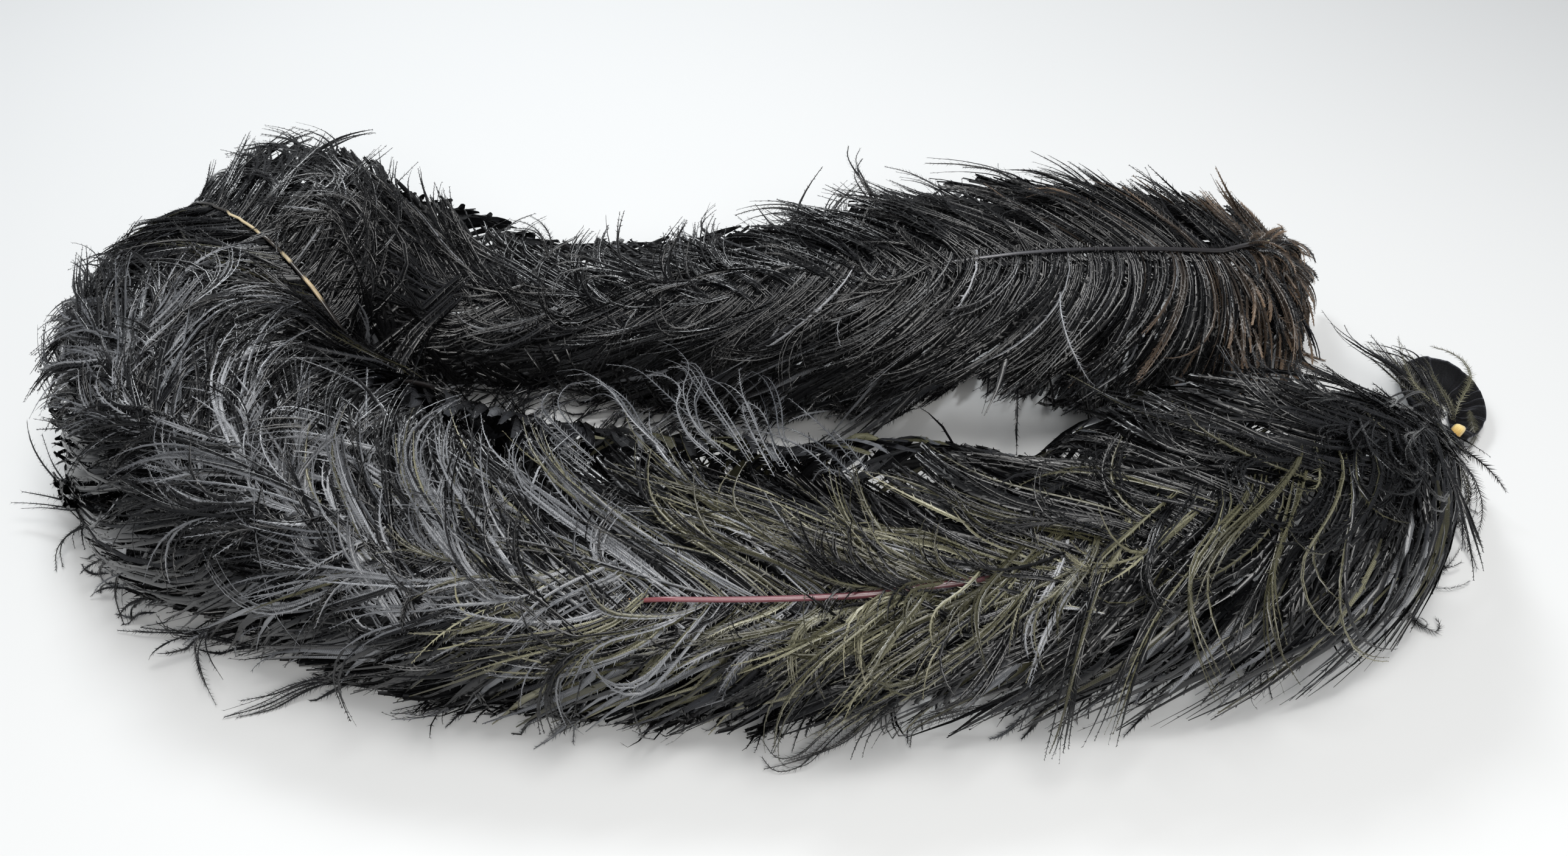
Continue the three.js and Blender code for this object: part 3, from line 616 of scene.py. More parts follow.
def half_vane(soup, plume, side, spec, rng, layer, K, M, count):
    """One side of a plume, as a close under layer or as loose locks on top of it."""
    loose = layer == "locks"
    x0 = np.sort(rng.uniform(spec.get("x0", 3), plume.L * spec.get("xe", 1.0), count))
    f = x0 / plume.L
    ip = lambda key: np.interp(x0, spec[key][0], spec[key][1])
    li, lp, nl = locks(count, rng, *((2, 8) if loose else (3, 9)))
    mean = np.zeros(nl)
    np.add.at(mean, li, x0)
    mean /= np.bincount(li, minlength=nl)
    R = lambda sd: rng.normal(0, sd, nl)[li]
    deg = math.pi / 180
    k = spec.get("wild", 1.0) if loose else 0.30
    L = ip("L") * (1 + R(0.10 * k) + rng.normal(0, 0.05, count)) * (1.0 if loose else 1.02)
    if loose:
        L = L * (1.06 - spec.get("short", 0.5) * rng.random(nl)[li] ** 1.3)
    th0 = (ip("th0") + R(8 * k) + rng.normal(0, 1.5, count)) * deg
    th1 = (ip("th1") + R(10 * k) + rng.normal(0, 1.8, count) + drift(x0, rng, 9 * k) + (0 if loose else 3)) * deg
    meet = (x0 - mean[li]) * np.sin(0.5 * (th0 + th1)) / L
    meet = meet * (0.9 if loose else 0.25)
    th0, th1 = th0 + meet, th1 + meet
    curl = (ip("curl") + R(spec.get("vc", 26) * k) + rng.normal(0, 5, count) + drift(x0, rng, 18 * k)) * deg
    ca = np.clip(0.48 + R(0.12), 0.25, 0.8)
    if loose:
        lift = ip("lift") + np.abs(R(2.4)) * k + rng.normal(0, 0.9, count)
        tl = ip("tip") + np.abs(R(spec.get("vt", 5.0))) + rng.normal(0, 1.4, count)
        stray = rng.random(nl)[li] < spec.get("stray", 0.05)
        one = rng.random(count) < 0.03
        curl = np.where(stray, curl + R(55) * deg, curl) + np.where(one, rng.normal(0, 80, count) * deg, 0)
        tl = np.where(stray | one, tl + rng.uniform(3, 12, count), tl)
        curl = np.clip(curl, -1.9, 1.9) * np.clip(L / 80, 0.35, 1.0)
    else:
        lift = ip("lift") - 3.4 + R(1.2) + rng.normal(0, 0.8, count)
        tl = 0.5 * ip("tip") + R(1.5) + rng.normal(0, 1.0, count)
    P, N = grow(plume, side, x0, L, th0, th1, ip("tau"), curl, ca, lift, tl, K, rng,
                across=0.5 + np.abs(R(1.0)) * ip("across") if loose else 7.0)
    tone = spec["tone" if loose else "deep"](x0, f, li, nl, rng)
    w = (0.85 if loose else 2.0) * rng.uniform(0.7, 1.25, count)
    bl = ip("bl") * rng.uniform(0.8, 1.15, count) * (1.0 if loose else 1.15)
    add_barbs(soup, P, N, tone, M, rng, w=w, bl=bl, roll=spec.get("roll", 0.6) if loose else 0.35,
              wisp=0.16 if loose else 0.5, fat=0.55 if loose else 1.4)


def tone_mix(*parts):
    """parts: (share, low, high) of tone rows, shares may depend on x."""
    def f(x, fr, li, nl, rng):
        n = len(x)
        w = np.stack([np.broadcast_to(p[0](x) if callable(p[0]) else float(p[0]), (n,)) for p in parts], 0)
        w = w / w.sum(0)
        r = 0.65 * rng.random(nl)[li] + 0.35 * rng.random(n)
        c = np.cumsum(w, 0)
        k = (r[None] > c).sum(0).clip(0, len(parts) - 1)
        lo = np.array([p[1] for p in parts])[k]
        hi = np.array([p[2] for p in parts])[k]
        v = lo + (hi - lo) * (0.6 * rng.random(nl)[li] + 0.4 * rng.random(n)) ** 1.5
        return np.clip(v, 0.004, 0.982)
    return f


BLACK = (0.01, 0.20)
# blue-black tone rows whose light upper end is painted silver sheen
BLUE_BLACK_PAINTED_SHEEN = (0.28, 0.415)
OLIVE = (0.52, 0.69)
BROWN = (0.78, 0.95)
I = lambda *p: (np.array([q[0] for q in p], float), np.array([q[1] for q in p], float))


def spec(**k):
    d = dict(deep=tone_mix((1, 0.01, 0.14)), L=I((0, 70), (120, 112), (300, 118), (430, 84)), th0=I((0, 60), (400, 40)), th1=I((0, 30), (400, 16)),
             tau=I((0, 0.35)), curl=I((0, 0)), lift=I((0, 0)), tip=I((0, 2)), bl=I((0, 4.2)), across=I((0, 13)),
             tone=tone_mix((1, *BLACK)))
    d.update(k)
    return d


pieces = []


def make_plume(name, plume, inner, outer, seed, shaft=None, base=(245, 245), loose=(346, 346), kb=(8, 12), kl=(13, 18),
               shaft_r=(2.2, 0.45), shaft_lift=-5.0, extra=None, line=None):
    rng = np.random.default_rng(seed)
    sp = Soup()
    for side, sc, nb, nl in ((-1, inner, base[0], loose[0]), (1, outer, base[1], loose[1])):
        if nb:
            half_vane(sp, plume, side, sc, rng, "base", *kb, nb)
        if nl:
            half_vane(sp, plume, side, sc, rng, "locks", *kl, nl)
    n = 60
    xs = np.linspace(0, plume.L, n)
    s, phi = plume.at(xs)
    sl = np.full(n, float(shaft_lift)) if np.isscalar(shaft_lift) else np.interp(xs, *shaft_lift)
    P, N, _, _, _ = surface(s, phi, sl, plume.under)
    P[:, 2] = np.maximum(P[:, 2], 2.4)
    r = np.interp(xs / plume.L, [0, 0.5, 1], [shaft_r[0], shaft_r[0] * 0.55, shaft_r[1]])
    add_tube(sp, P, r, 10, mat=1, squash=0.8, N=N)
    if extra:
        extra(sp, rng)
    if line:
        lining(sp, line[0], line[1], plume.row, np.random.default_rng(seed + 100), olive=line[2] if len(line) > 2 else 0.0)
    ob = sp.make(name + "_barbs", [MAT_BARB, shaft or MAT_SHAFT_PLAIN, MAT_QUILL], smooth_mats=(0, 1, 2))
    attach(ob, "root")
    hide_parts(name)
    pieces.append((name, sp.triangles()))
    return ob


def spray(soup, O, az, pitch, L, droop, curl, tone, rng, K=9, M=22, bl=4.4, w=1.2, wisp=0.3, fat=0.5):
    """Loose barbs that leave O at a heading and a pitch and sink to the table."""
    n = len(L)
    P = np.zeros((n, K, 3))
    N = np.zeros((n, K, 3))
    p, a, pt = O.copy(), az.copy(), pitch.copy()
    low = rng.uniform(0.9, 2.6, n)
    for k in range(K):
        P[:, k] = p
        N[:, k] = np.stack([-np.sin(pt) * np.cos(a), -np.sin(pt) * np.sin(a), np.cos(pt)], -1)
        d = np.stack([np.cos(pt) * np.cos(a), np.cos(pt) * np.sin(a), np.sin(pt)], -1)
        p = p + d * (L / (K - 1))[:, None]
        hit = p[:, 2] < low
        p[:, 2] = np.maximum(p[:, 2], low)
        pt = np.where(hit, 0.0, np.maximum(pt - droop / (K - 1), -1.35))
        a = a + curl / (K - 1) * (k / (K - 1)) * 2
    P[..., 2] = np.maximum(P[..., 2], 0.9)
    add_barbs(soup, P, N, tone, M, rng, w=w * rng.uniform(0.7, 1.2, n), bl=bl, roll=0.5, wisp=wisp, fat=fat)


def fringe(soup, s0, s1, side, n, rng, lean, L, tone, row, curl=45, bl=4.4, K=9, M=13, w=0.9, low=0.12, high=0.75, qr=(0.62, 0.97)):
    """Barbs that spill from one flank on to the table, leaning along the run."""
    s = rng.uniform(s0, s1, n)
    f = At(s)
    a = np.where(side > 0, f.ao, f.ai)
    q = rng.uniform(*qr, n)
    z = np.maximum(f.h * rng.uniform(low, high, n) * (1.15 - q), 4.0)
    lat = side * a * q
    O = np.stack([f.x - f.ty * lat, f.y + f.tx * lat, z], -1)
    out = np.arctan2(f.tx * side, -f.ty * side)
    along = np.arctan2(f.ty * row, f.tx * row)
    turn = (along - out + math.pi) % (2 * math.pi) - math.pi
    az = out + np.sign(turn) * np.radians(rng.normal(lean, 16, n))
    spray(soup, O, az, pitch=np.radians(rng.uniform(-18, 32, n)), L=rng.uniform(*L, n), droop=np.radians(rng.uniform(35, 110, n)),
          curl=np.sign(turn) * np.radians(rng.normal(curl * 0.4, curl, n)), tone=tone(rng, n), rng=rng, K=K, M=M, bl=bl, w=w)


def lining(soup, s0, s1, row, rng, each=2.4, olive=0.0):
    """Broad dark barbs that hang close under the others, from the shoulders to the table on both flanks."""
    K = 6
    t = np.linspace(0, 1, K)[None]
    n = int((s1 - s0) / each)
    for side in (-1, 1):
        i = np.arange(n)
        s = s0 + (i + rng.uniform(0.1, 0.9, n)) * each
        f = At(s)
        a = np.where(side > 0, f.ao, f.ai)
        seen = side * row > 0                                              # the flank on the photo's side
        low = np.full(n, 0.45) if seen else np.where((row < 0) & (s < 1230), 1.15, 0.38 if row > 0 else 0.8)
        end = HP + np.maximum(MID * f.h - (13.0 if seen else 3.0), 3.0) / a
        p0 = low + (end - low - 0.5) * ((i * 0.618034 + rng.uniform(0, 0.12, n)) % 1.0)
        p1 = np.minimum(p0 + rng.uniform(0.6, 1.0, n), end)
        S = s[:, None] + row * (rng.uniform(40, 95, n) if seen else rng.uniform(16, 60, n))[:, None] * t ** rng.uniform(0.7, 2.1, (n, 1))
        A = side * (p0[:, None] + (p1 - p0)[:, None] * t ** rng.uniform(0.75, 1.3, (n, 1)))
        c = rng.random(n)
        # about one barb in six takes the blue-black rows, partly painted silver sheen; the others are olive or black
        tone = np.where(c < olive, rng.uniform(0.52, 0.62, n), np.where(c > 0.82, rng.uniform(0.28, 0.345, n), rng.uniform(0.05, 0.22, n)))
        H = rng.uniform(-12, -6, n)[:, None] + (1.0 if seen else 4.0) * t
        P, N, _, _, _ = surface(S.ravel(), A.ravel(), H.ravel(), False)
        P, N = P.reshape(n, K, 3), N.reshape(n, K, 3)
        P[..., 2] = np.maximum(P[..., 2], 0.8)
        add_barbs(soup, P, N, tone, 6, rng, w=rng.uniform(1.3, 2.2, n) if seen else rng.uniform(2.6, 3.9, n), bl=4.8, roll=0.3, wisp=0.15, keel=0.35, fat=1.0)


# mostly black barbs; one in five on the blue-black rows, with their painted silver sheen
INK_AND_PAINTED_SHEEN = lambda rng, n: np.where(rng.random(n) < 0.8, rng.uniform(0.01, 0.17, n), rng.uniform(0.28, 0.36, n))

# loose barbs that stand off the mass, root first
STRAYS = {
    "ribbon": [
        [(453, 639, 14), (442, 607, 26), (445, 591, 26), (446, 575, 20), (444, 564, 12), (438, 554, 6)],
        [(446, 634, 14), (431, 596, 24), (429, 574, 18), (432, 552, 8), (432, 533, 3)],
        [(439, 624, 16), (419, 586, 24), (410, 567, 18), (403, 555, 9), (396, 542, 4), (394, 526, 3), (402, 517, 3), (414, 518, 3), (424, 523, 3)],
        [(377, 520, 16), (384, 518, 9), (398, 523, 5), (414, 534, 4), (428, 549, 4)],
        [(367, 517, 18), (372, 511, 8), (375, 500, 4), (381, 489, 3), (387, 483, 3), (392, 488, 3), (391, 493, 3)],
        [(453, 635, 14), (436, 600, 28), (426, 583, 30), (417, 576, 26), (413, 572, 20)],
        [(426, 601, 20), (424, 577, 22), (433, 572, 20), (439, 578, 24), (439, 589, 28)],
        [(402, 557, 14), (412, 554, 10), (425, 561, 10), (435, 571, 14)]],
    "ribbon_olive": [
        [(476, 667, 16), (474, 653, 14), (475, 647, 9), (469, 640, 4)],
        [(461, 657, 16), (459, 664, 26), (454, 685, 30), (444, 705, 34), (438, 720, 38)],
        [(463, 660, 18), (466, 666, 26), (481, 687, 28), (486, 708, 26), (482, 722, 24), (473, 731, 22)],
        [(458, 660, 22), (443, 657, 34), (428, 664, 44), (425, 686, 50), (427, 702, 54)]],
    "ribbon_cover": [
        [(449, 652, 22), (443, 662, 27), (437, 680, 30), (433, 698, 31), (431, 716, 30)],
        [(452, 654, 22), (450, 668, 26), (447, 686, 27), (446, 703, 26), (443, 718, 22)],
        [(446, 650, 24), (434, 661, 34), (420, 676, 42), (411, 692, 46), (407, 704, 46)]],
    "ribbon_over": [
        [(440, 640, 24), (425, 655, 44), (390, 628, 60), (367, 602, 64), (356, 584, 60)],
        [(444, 650, 26), (438, 676, 40), (424, 688, 52), (398, 686, 62)],
        [(440, 648, 26), (422, 670, 46), (392, 676, 62), (376, 683, 70), (371, 691, 74)]],
    "left": [
        [(-408, 539, 40), (-441, 563, 30), (-472, 592, 24), (-492, 613, 26), (-508, 637, 34)],
        [(-418, 552, 36), (-452, 566, 24), (-477, 575, 18), (-497, 578, 16)],
        [(-398, 532, 40), (-429, 550, 26), (-448, 552, 16), (-455, 546, 8), (-451, 535, 2)],
        [(-353, 502, 40), (-375, 516, 34), (-394, 522, 26), (-404, 518, 18), (-405, 506, 9), (-397, 492, 2)],
        [(-360, 508, 36), (-381, 523, 26), (-392, 522, 16), (-391, 515, 8), (-384, 507, 2)],
        [(-305, 458, 20), (-331, 470, 12), (-355, 478, 8), (-379, 481, 5), (-397, 484, 3)],
        [(-319, 468, 30), (-334, 467, 20), (-338, 459, 12), (-332, 446, 5), (-321, 431, 2)],
        [(-243, 440, 20), (-262, 440, 12), (-277, 436, 8), (-293, 429, 4), (-314, 423, 2)],
        [(-425, 590, 80), (-447, 615, 84), (-462, 633, 90), (-478, 656, 98)],
        [(-416, 596, 90), (-436, 614, 100), (-449, 628, 106), (-455, 629, 112)],
        [(-427, 582, 66), (-453, 606, 66), (-471, 624, 70), (-480, 637, 76)],
        [(-350, 513, 50), (-370, 527, 48), (-383, 527, 40), (-387, 523, 30)]],
    # light blue-grey strands at the bend: painted silver sheen on black barbs
    "bend_painted_sheen": [
        [(-245, 536, 118), (-274, 543, 124), (-291, 543, 126), (-300, 534, 124), (-298, 516, 122), (-290, 500, 118), (-277, 487, 114), (-261, 484, 110)],
        [(-215, 522, 112), (-239, 519, 124), (-270, 523, 128), (-295, 522, 126)]],
    "front": [
        [(47, 414, 22), (31, 408, 14), (19, 399, 8), (8, 389, 4), (-4, 386, 3), (-12, 395, 5)],
        [(64, 418, 20), (43, 411, 12), (26, 401, 6), (4, 393, 3), (-11, 388, 3)],
        [(-60, 423, 20), (-87, 426, 12), (-114, 422, 6), (-130, 412, 2)],
        [(113, 422, 14), (87, 420, 8), (70, 416, 4), (68, 406, 2)]],
    "front_left": [
        [(-192, 432, 22), (-219, 433, 14), (-267, 442, 8), (-296, 430, 4), (-311, 424, 2)],
        [(-156, 429, 20), (-175, 428, 12), (-193, 428, 8), (-219, 423, 4)]],
    "far_top": [
        [(82, 759, 110), (64, 757, 128), (54, 768, 138), (51, 780, 143), (55, 790, 146)],
        [(131, 766, 120), (108, 766, 134), (87, 777, 140), (70, 783, 142)],
        [(185, 789, 110), (156, 795, 128), (128, 797, 134), (100, 796, 136)],
        [(230, 811, 100), (210, 805, 118), (195, 809, 124), (180, 815, 126)],
        [(33, 759, 110), (5, 763, 122), (-19, 760, 124), (-33, 757, 122)]],
    # a light grey strand on the far run: painted silver sheen on a black barb
    "far_painted_sheen": [[(179, 675, 112), (176, 652, 112), (179, 630, 104), (190, 618, 88), (198, 621, 78)]],
    "far_left": [
        [(-167, 753, 84), (-172, 765, 96), (-183, 774, 100), (-196, 779, 100)],
        [(-245, 753, 84), (-254, 771, 92), (-256, 782, 98), (-260, 792, 104)]],
    "notch": [
        [(-222, 722, 90), (-244, 710, 76), (-262, 700, 61), (-280, 686, 50), (-296, 666, 42)],
        [(-226, 708, 84), (-246, 698, 70), (-260, 686, 58), (-268, 668, 46), (-268, 648, 38)],
        [(-232, 728, 70), (-252, 720, 56), (-270, 712, 46), (-288, 700, 38), (-304, 684, 30)]],
    "valley": [
        [(4, 517, 104), (-7, 534, 112), (-11, 554, 118), (-18, 570, 122), (-28, 579, 122), (-35, 575, 118)],
        [(-31, 517, 104), (-53, 534, 112), (-62, 554, 118), (-60, 569, 120), (-69, 577, 122), (-81, 581, 120)],
        [(-62, 523, 104), (-81, 541, 112), (-91, 556, 116), (-106, 569, 116), (-117, 566, 112)],
        [(39, 510, 104), (22, 532, 108), (5, 546, 108), (-7, 553, 104)],
        [(-106, 521, 106), (-129, 539, 116), (-139, 552, 120), (-135, 563, 122), (-126, 560, 120)],
        [(-18, 523, 104), (-31, 544, 112), (-46, 568, 118), (-56, 585, 122), (-64, 586, 122)]],
}


def strays(soup, group, rng, tone=(0.01, 0.2), w=0.45, bl=4.6, M=46, copies=1, spread=3.0, K=18, fat=0.28):
    """The named loose barbs, with near copies beside each where they hang in a lock."""
    paths = []
    for pts in STRAYS[group]:
        for c in range(copies):
            q = np.array(pts, float)
            t = np.linspace(0, 1, len(q))[:, None]
            off = rng.normal(0, spread, 3) * (1 if c else 0) * np.array([1, 1, 0.6])
            q = q + off * (0.4 + 0.9 * t ** 1.5)
            q = q[0] + (q - q[0]) * (1 - (0.22 * rng.random() if c else 0))
            P = catmull(q, 16)
            d = np.r_[0, np.cumsum(np.linalg.norm(np.diff(P, axis=0), axis=1))]
            x = np.linspace(0, d[-1], K)
            paths.append(np.stack([np.interp(x, d, P[:, k]) for k in range(3)], 1))
    P = np.array(paths)
    P[..., 2] = np.maximum(P[..., 2], 1.2)
    n = len(P)
    N = unit(np.array([0, -0.25, 1.0]) + rng.normal(0, 0.25, (n, 1, 3)) + 0 * P)
    add_barbs(soup, P, N, rng.uniform(*tone, n), M, rng, w=w * rng.uniform(0.8, 1.2, n), bl=bl, roll=0.3, wisp=0.35, fat=fat, opening=group != "valley")


def quill_end(soup, O, D, R, length, cut, rng, bore=0.58, mat=2):
    """A quill with its end cut off aslant: faceted wall, rim, and a shallow pithy bore."""
    D = D / np.linalg.norm(D)
    S = np.cross(D, [0, 0, 1.0]); S /= np.linalg.norm(S)
    U = np.cross(S, D)
    sides = 14
    th = np.linspace(0, 2 * np.pi, sides, endpoint=False)
    wob = 1 + 0.05 * np.sin(3 * th + 1) + rng.normal(0, 0.02, sides)
    rings, uvs = [], []
    ks = [0, 0.25, 0.5, 0.7, 0.84, 0.93, 1.0]
    for k in ks:
        r = R * (1.0 - 0.05 * k) * wob * (1 + 0.03 * np.sin(9 * k))
        off = length * k + (cut * np.cos(th + 0.6) + rng.normal(0, 0.12, sides)) * smooth(k, 0.8, 1.0)
        rings.append(O + D * off[:, None] + S * (np.cos(th) * r)[:, None] + U * (np.sin(th) * r)[:, None])
        uvs.append(np.stack([np.full(sides, 0.02 + 0.86 * k), 0.1 + 0.8 * np.abs(th / np.pi - 1)], -1))
    last = rings[-1]
    mid = last.mean(0)
    inner = mid + (last - mid) * bore
    rings += [mid + (last - mid) * 0.9 + D * 0.15, inner, mid + (inner - mid) * 0.85 - D * 1.8]
    for u in (0.93, 0.97, 0.60):
        uvs.append(np.stack([np.full(sides, u), 0.1 + 0.8 * np.abs(th / np.pi - 1)], -1))
    V, W = np.array(rings), np.array(uvs)
    K = len(V)
    i, j = np.meshgrid(np.arange(K - 1), np.arange(sides), indexing="ij")
    quad = np.stack([i * sides + j, i * sides + (j + 1) % sides, (i + 1) * sides + (j + 1) % sides, (i + 1) * sides + j], -1)
    soup.add(V, W, quad=quad, mat=mat)
    c = np.vstack([V[-1].mean(0)[None], V[-1]])
    w = np.vstack([[(0.5, 0.5)], W[-1]])
    soup.add(c, w, tri=np.array([[0, 1 + q, 1 + (q + 1) % sides] for q in range(sides)]), mat=mat)


def near1_ends(sp, rng, top):
    """The cut quill at the ribbon and the loose barbs that hang about it."""
    f = At(np.array([0.0]))
    base = np.array([float(f.x[0]), float(f.y[0]), 0.0])
    e = np.array([-float(f.tx[0]), -float(f.ty[0]), 0.0])
    nn = np.array([-float(f.ty[0]), float(f.tx[0]), 0.0])
    if top:
        O = base - e * 7 + nn * 2.2 + np.array([0, 0, 13.0])
        E = base + e * 20.5 + nn * 2.2 + np.array([0, 0, 16.5])
        quill_end(sp, O, E - O, 4.1, np.linalg.norm(E - O) - 1.2, 1.1, rng)
    else:
        O = base - e * 7 - nn * 4.2 + np.array([0, 0, 3.9])
        E = base + e * 15.5 - nn * 4.2 + np.array([0, 0, 7.4])
        quill_end(sp, O, E - O, 2.4, np.linalg.norm(E - O) - 1.0, 0.9, rng)
    if top:
        strays(sp, "ribbon", rng, w=0.42, bl=6.2, M=76, copies=2, spread=2.5, K=20, fat=0.34)
        strays(sp, "ribbon_olive", rng, tone=(0.53, 0.64), w=0.34, bl=5.0, M=60, copies=2, spread=2.0)
        strays(sp, "ribbon_cover", rng, tone=(0.04, 0.2), w=0.55, bl=5.0, M=34, copies=9, spread=7.0)
        strays(sp, "ribbon_cover", rng, tone=(0.51, 0.60), w=0.40, bl=5.2, M=46, copies=4, spread=6.0)
        strays(sp, "ribbon_over", rng, w=0.8, bl=4.8, M=30, copies=4, spread=7.0)
        fringe(sp, 90, 340, 1, 140, rng, 66, (24, 46), INK_AND_PAINTED_SHEEN, 1, qr=(0.35, 0.74))
    n = 110 if top else 80
    back = rng.uniform(14, 58, n)
    O = base - e * back[:, None] + nn * rng.uniform(2, 14, n)[:, None] + np.array([0, 0, 1.0]) * (7 + 0.55 * back + rng.uniform(-4, 5, n))[:, None]
    spray(sp, O, np.radians(rng.normal(-134, 11, n)), pitch=np.radians(rng.uniform(-25, 20, n)), L=rng.uniform(38, 72, n),
          droop=np.radians(rng.uniform(40, 120, n)), curl=np.radians(rng.normal(-8, 36, n)), tone=rng.uniform(*BLACK, n), rng=rng,
          K=10, M=18, bl=4.4, w=0.8)
    n = 26 if top else 20
    back = rng.uniform(8, 38, n)
    O = base - e * back[:, None] + nn * rng.normal(0, 5, n)[:, None] + np.array([0, 0, 1.0]) * (12 + 0.6 * back + rng.uniform(-6, 6, n))[:, None]
    az = math.radians(45) + np.radians(np.where(rng.random(n) < 0.72, np.clip(rng.normal(-138, 20, n), -175, -112), rng.normal(82, 14, n)))
    spray(sp, O, az, pitch=np.radians(rng.uniform(-10, 45, n)), L=rng.uniform(26, 60, n), droop=np.radians(rng.uniform(60, 170, n)),
          curl=np.radians(rng.normal(-45, 60, n)), tone=np.where(rng.random(n) < 0.8, rng.uniform(*BLACK, n), rng.uniform(0.52, 0.6, n)),
          rng=rng, K=12, M=40, bl=5.4, w=0.4)


# far run, end plume: long glossy shaft on the inner flank
def far1_tuft(sp, rng):
    strays(sp, "far_top", rng, copies=4, spread=7.0, w=0.7, M=28)
    strays(sp, "far_painted_sheen", rng, tone=(0.40, 0.415), w=0.5, M=40)
    fringe(sp, 1570, 1720, -1, 130, rng, 52, (40, 72), INK_AND_PAINTED_SHEEN, -1, low=0.3, high=1.0)
    # the short fluffy barbs that thatch the inner flank by the cut end
    m = 190
    xb = rng.uniform(2, 104, m)
    sb, pb = far1.at(xb)
    pb = pb - rng.uniform(0.12, 1.5, m) ** 1.0
    Q, _, _, _, fb = surface(sb, pb, rng.uniform(-2, 4, m), False)
    down = math.atan2(-float(fb.tx.mean()), float(fb.ty.mean()))
    spray(sp, Q, down + np.radians(rng.normal(0, 14, m) - 16 * (xb - 40) / 50), pitch=np.radians(rng.uniform(-38, 8, m) - 25 * np.abs(pb)),
          L=rng.uniform(20, 42, m), droop=np.radians(rng.uniform(20, 70, m)), curl=np.radians(rng.normal(0, 26, m)),
          tone=np.where(rng.random(m) < 0.6, rng.uniform(*BROWN, m), rng.uniform(0.05, 0.2, m)), rng=rng, K=7, M=13, bl=3.2, w=1.35, wisp=0.6, fat=0.9)
    n = 330
    x0 = rng.uniform(0, 62, n)
    s, phi = far1.at(x0)
    P, _, _, _, f = surface(s, phi + rng.normal(0, 0.05, n), rng.uniform(-10, -2, n), False)
    out = math.atan2(0.34, 0.94)
    fan = rng.uniform(-1, 1, n)
    az = out + np.sign(fan) * np.abs(fan) ** 0.85 * math.radians(120)
    spray(sp, P, az, pitch=np.radians(rng.uniform(-15, 62, n)), L=rng.uniform(16, 33, n) * (1 + 0.35 * (fan < -0.2)),
          droop=np.radians(rng.uniform(70, 150, n)), curl=np.radians(rng.normal(0, 45, n)),
          tone=np.where(rng.random(n) < 0.62, rng.uniform(*BROWN, n), rng.uniform(*BLACK, n)), rng=rng, bl=4.6)


far1 = Plume(*run_path(LEN - 34, LEN - 436), row=-1)
make_plume("plume_far_1_top", far1,
           inner=spec(L=I((0, 56), (40, 84), (110, 120), (260, 128), (430, 100)),
                      th0=I((0, 140), (30, 108), (90, 96), (200, 92), (430, 66)),
                      th1=I((0, 120), (40, 98), (90, 74), (130, 32), (300, 20), (430, 12)),
                      tau=I((0, 0.5), (100, 0.38), (250, 0.34)), open=8, across=I((0, 1), (250, 1), (300, 8)), lift=I((0, -1), (430, 0)), tip=I((0, 5), (100, 2), (430, 3)),
                      vc=12, wild=0.6,
                      tone=tone_mix((lambda x: np.interp(x, [0, 110, 170], [0.35, 0.5, 0.97]), *BLACK),
                                    (lambda x: np.interp(x, [0, 100, 170], [0.65, 0.5, 0.02]), *BROWN), (0.16, *BLUE_BLACK_PAINTED_SHEEN))),
           outer=spec(L=I((0, 46), (40, 70), (110, 112), (260, 124), (430, 96)),
                      th0=I((0, 135), (25, 95), (60, 66), (200, 56), (430, 44)),
                      th1=I((0, 115), (30, 70), (70, 46), (200, 36), (430, 18)),
                      tau=I((0, 0.5)), lift=I((0, -1)), across=I((0, 1), (250, 1), (300, 8)), tip=I((0, 8), (60, 7), (200, 6)), curl=I((0, -12), (430, -18)), vt=5,
                      tone=tone_mix((lambda x: np.interp(x, [0, 90, 170], [0.5, 0.75, 1.0]), *BLACK),
                                    (lambda x: np.interp(x, [0, 90, 180], [0.5, 0.3, 0.02]), *BROWN), (0.05, *BLUE_BLACK_PAINTED_SHEEN))),
           seed=11, shaft=MAT_SHAFT_DARK, shaft_r=(2.3, 0.4), shaft_lift=I((0, 0), (14, 3.0), (60, 2.6), (110, 1.6), (250, 1.3), (300, -2)),
           line=(1480, LEN - 6), extra=far1_tuft)

far2 = Plume(*run_path(1535, 1095), row=-1)
make_plume("plume_far_2_top", far2,
           inner=spec(L=I((0, 94), (140, 120), (300, 120), (440, 92)), th0=I((0, 70), (440, 48)), th1=I((0, 26), (440, 14)), open=6,
                      lift=I((0, -9), (130, -6), (200, -1), (440, 0)), vt=4, vc=38, wild=1.3,
                      tone=tone_mix((1, *BLACK), (0.10, *BLUE_BLACK_PAINTED_SHEEN))),
           outer=spec(L=I((0, 90), (140, 118), (300, 120), (440, 92)), th0=I((0, 52), (440, 42)), th1=I((0, 28), (440, 16)),
                      lift=I((0, -9), (130, -6), (200, -1), (440, 0)), vt=6, vc=38, wild=1.3, tip=I((0, 6)), curl=I((0, 14)),
                      tone=tone_mix((1, *BLACK), (0.05, *BLUE_BLACK_PAINTED_SHEEN))),
           seed=12, line=(1190, 1500), extra=lambda sp, rng: (strays(sp, "far_left", rng, copies=4, spread=6.0, w=0.6, M=30),
                                           strays(sp, "notch", rng, copies=14, spread=8.0, w=1.3, M=14, K=12, fat=0.6),
                                           fringe(sp, 1130, 1440, -1, 150, rng, 45, (40, 72), INK_AND_PAINTED_SHEEN, -1),
                                           fringe(sp, 1400, 1600, -1, 130, rng, 60, (36, 62), INK_AND_PAINTED_SHEEN, -1, low=0.4, high=1.2)))

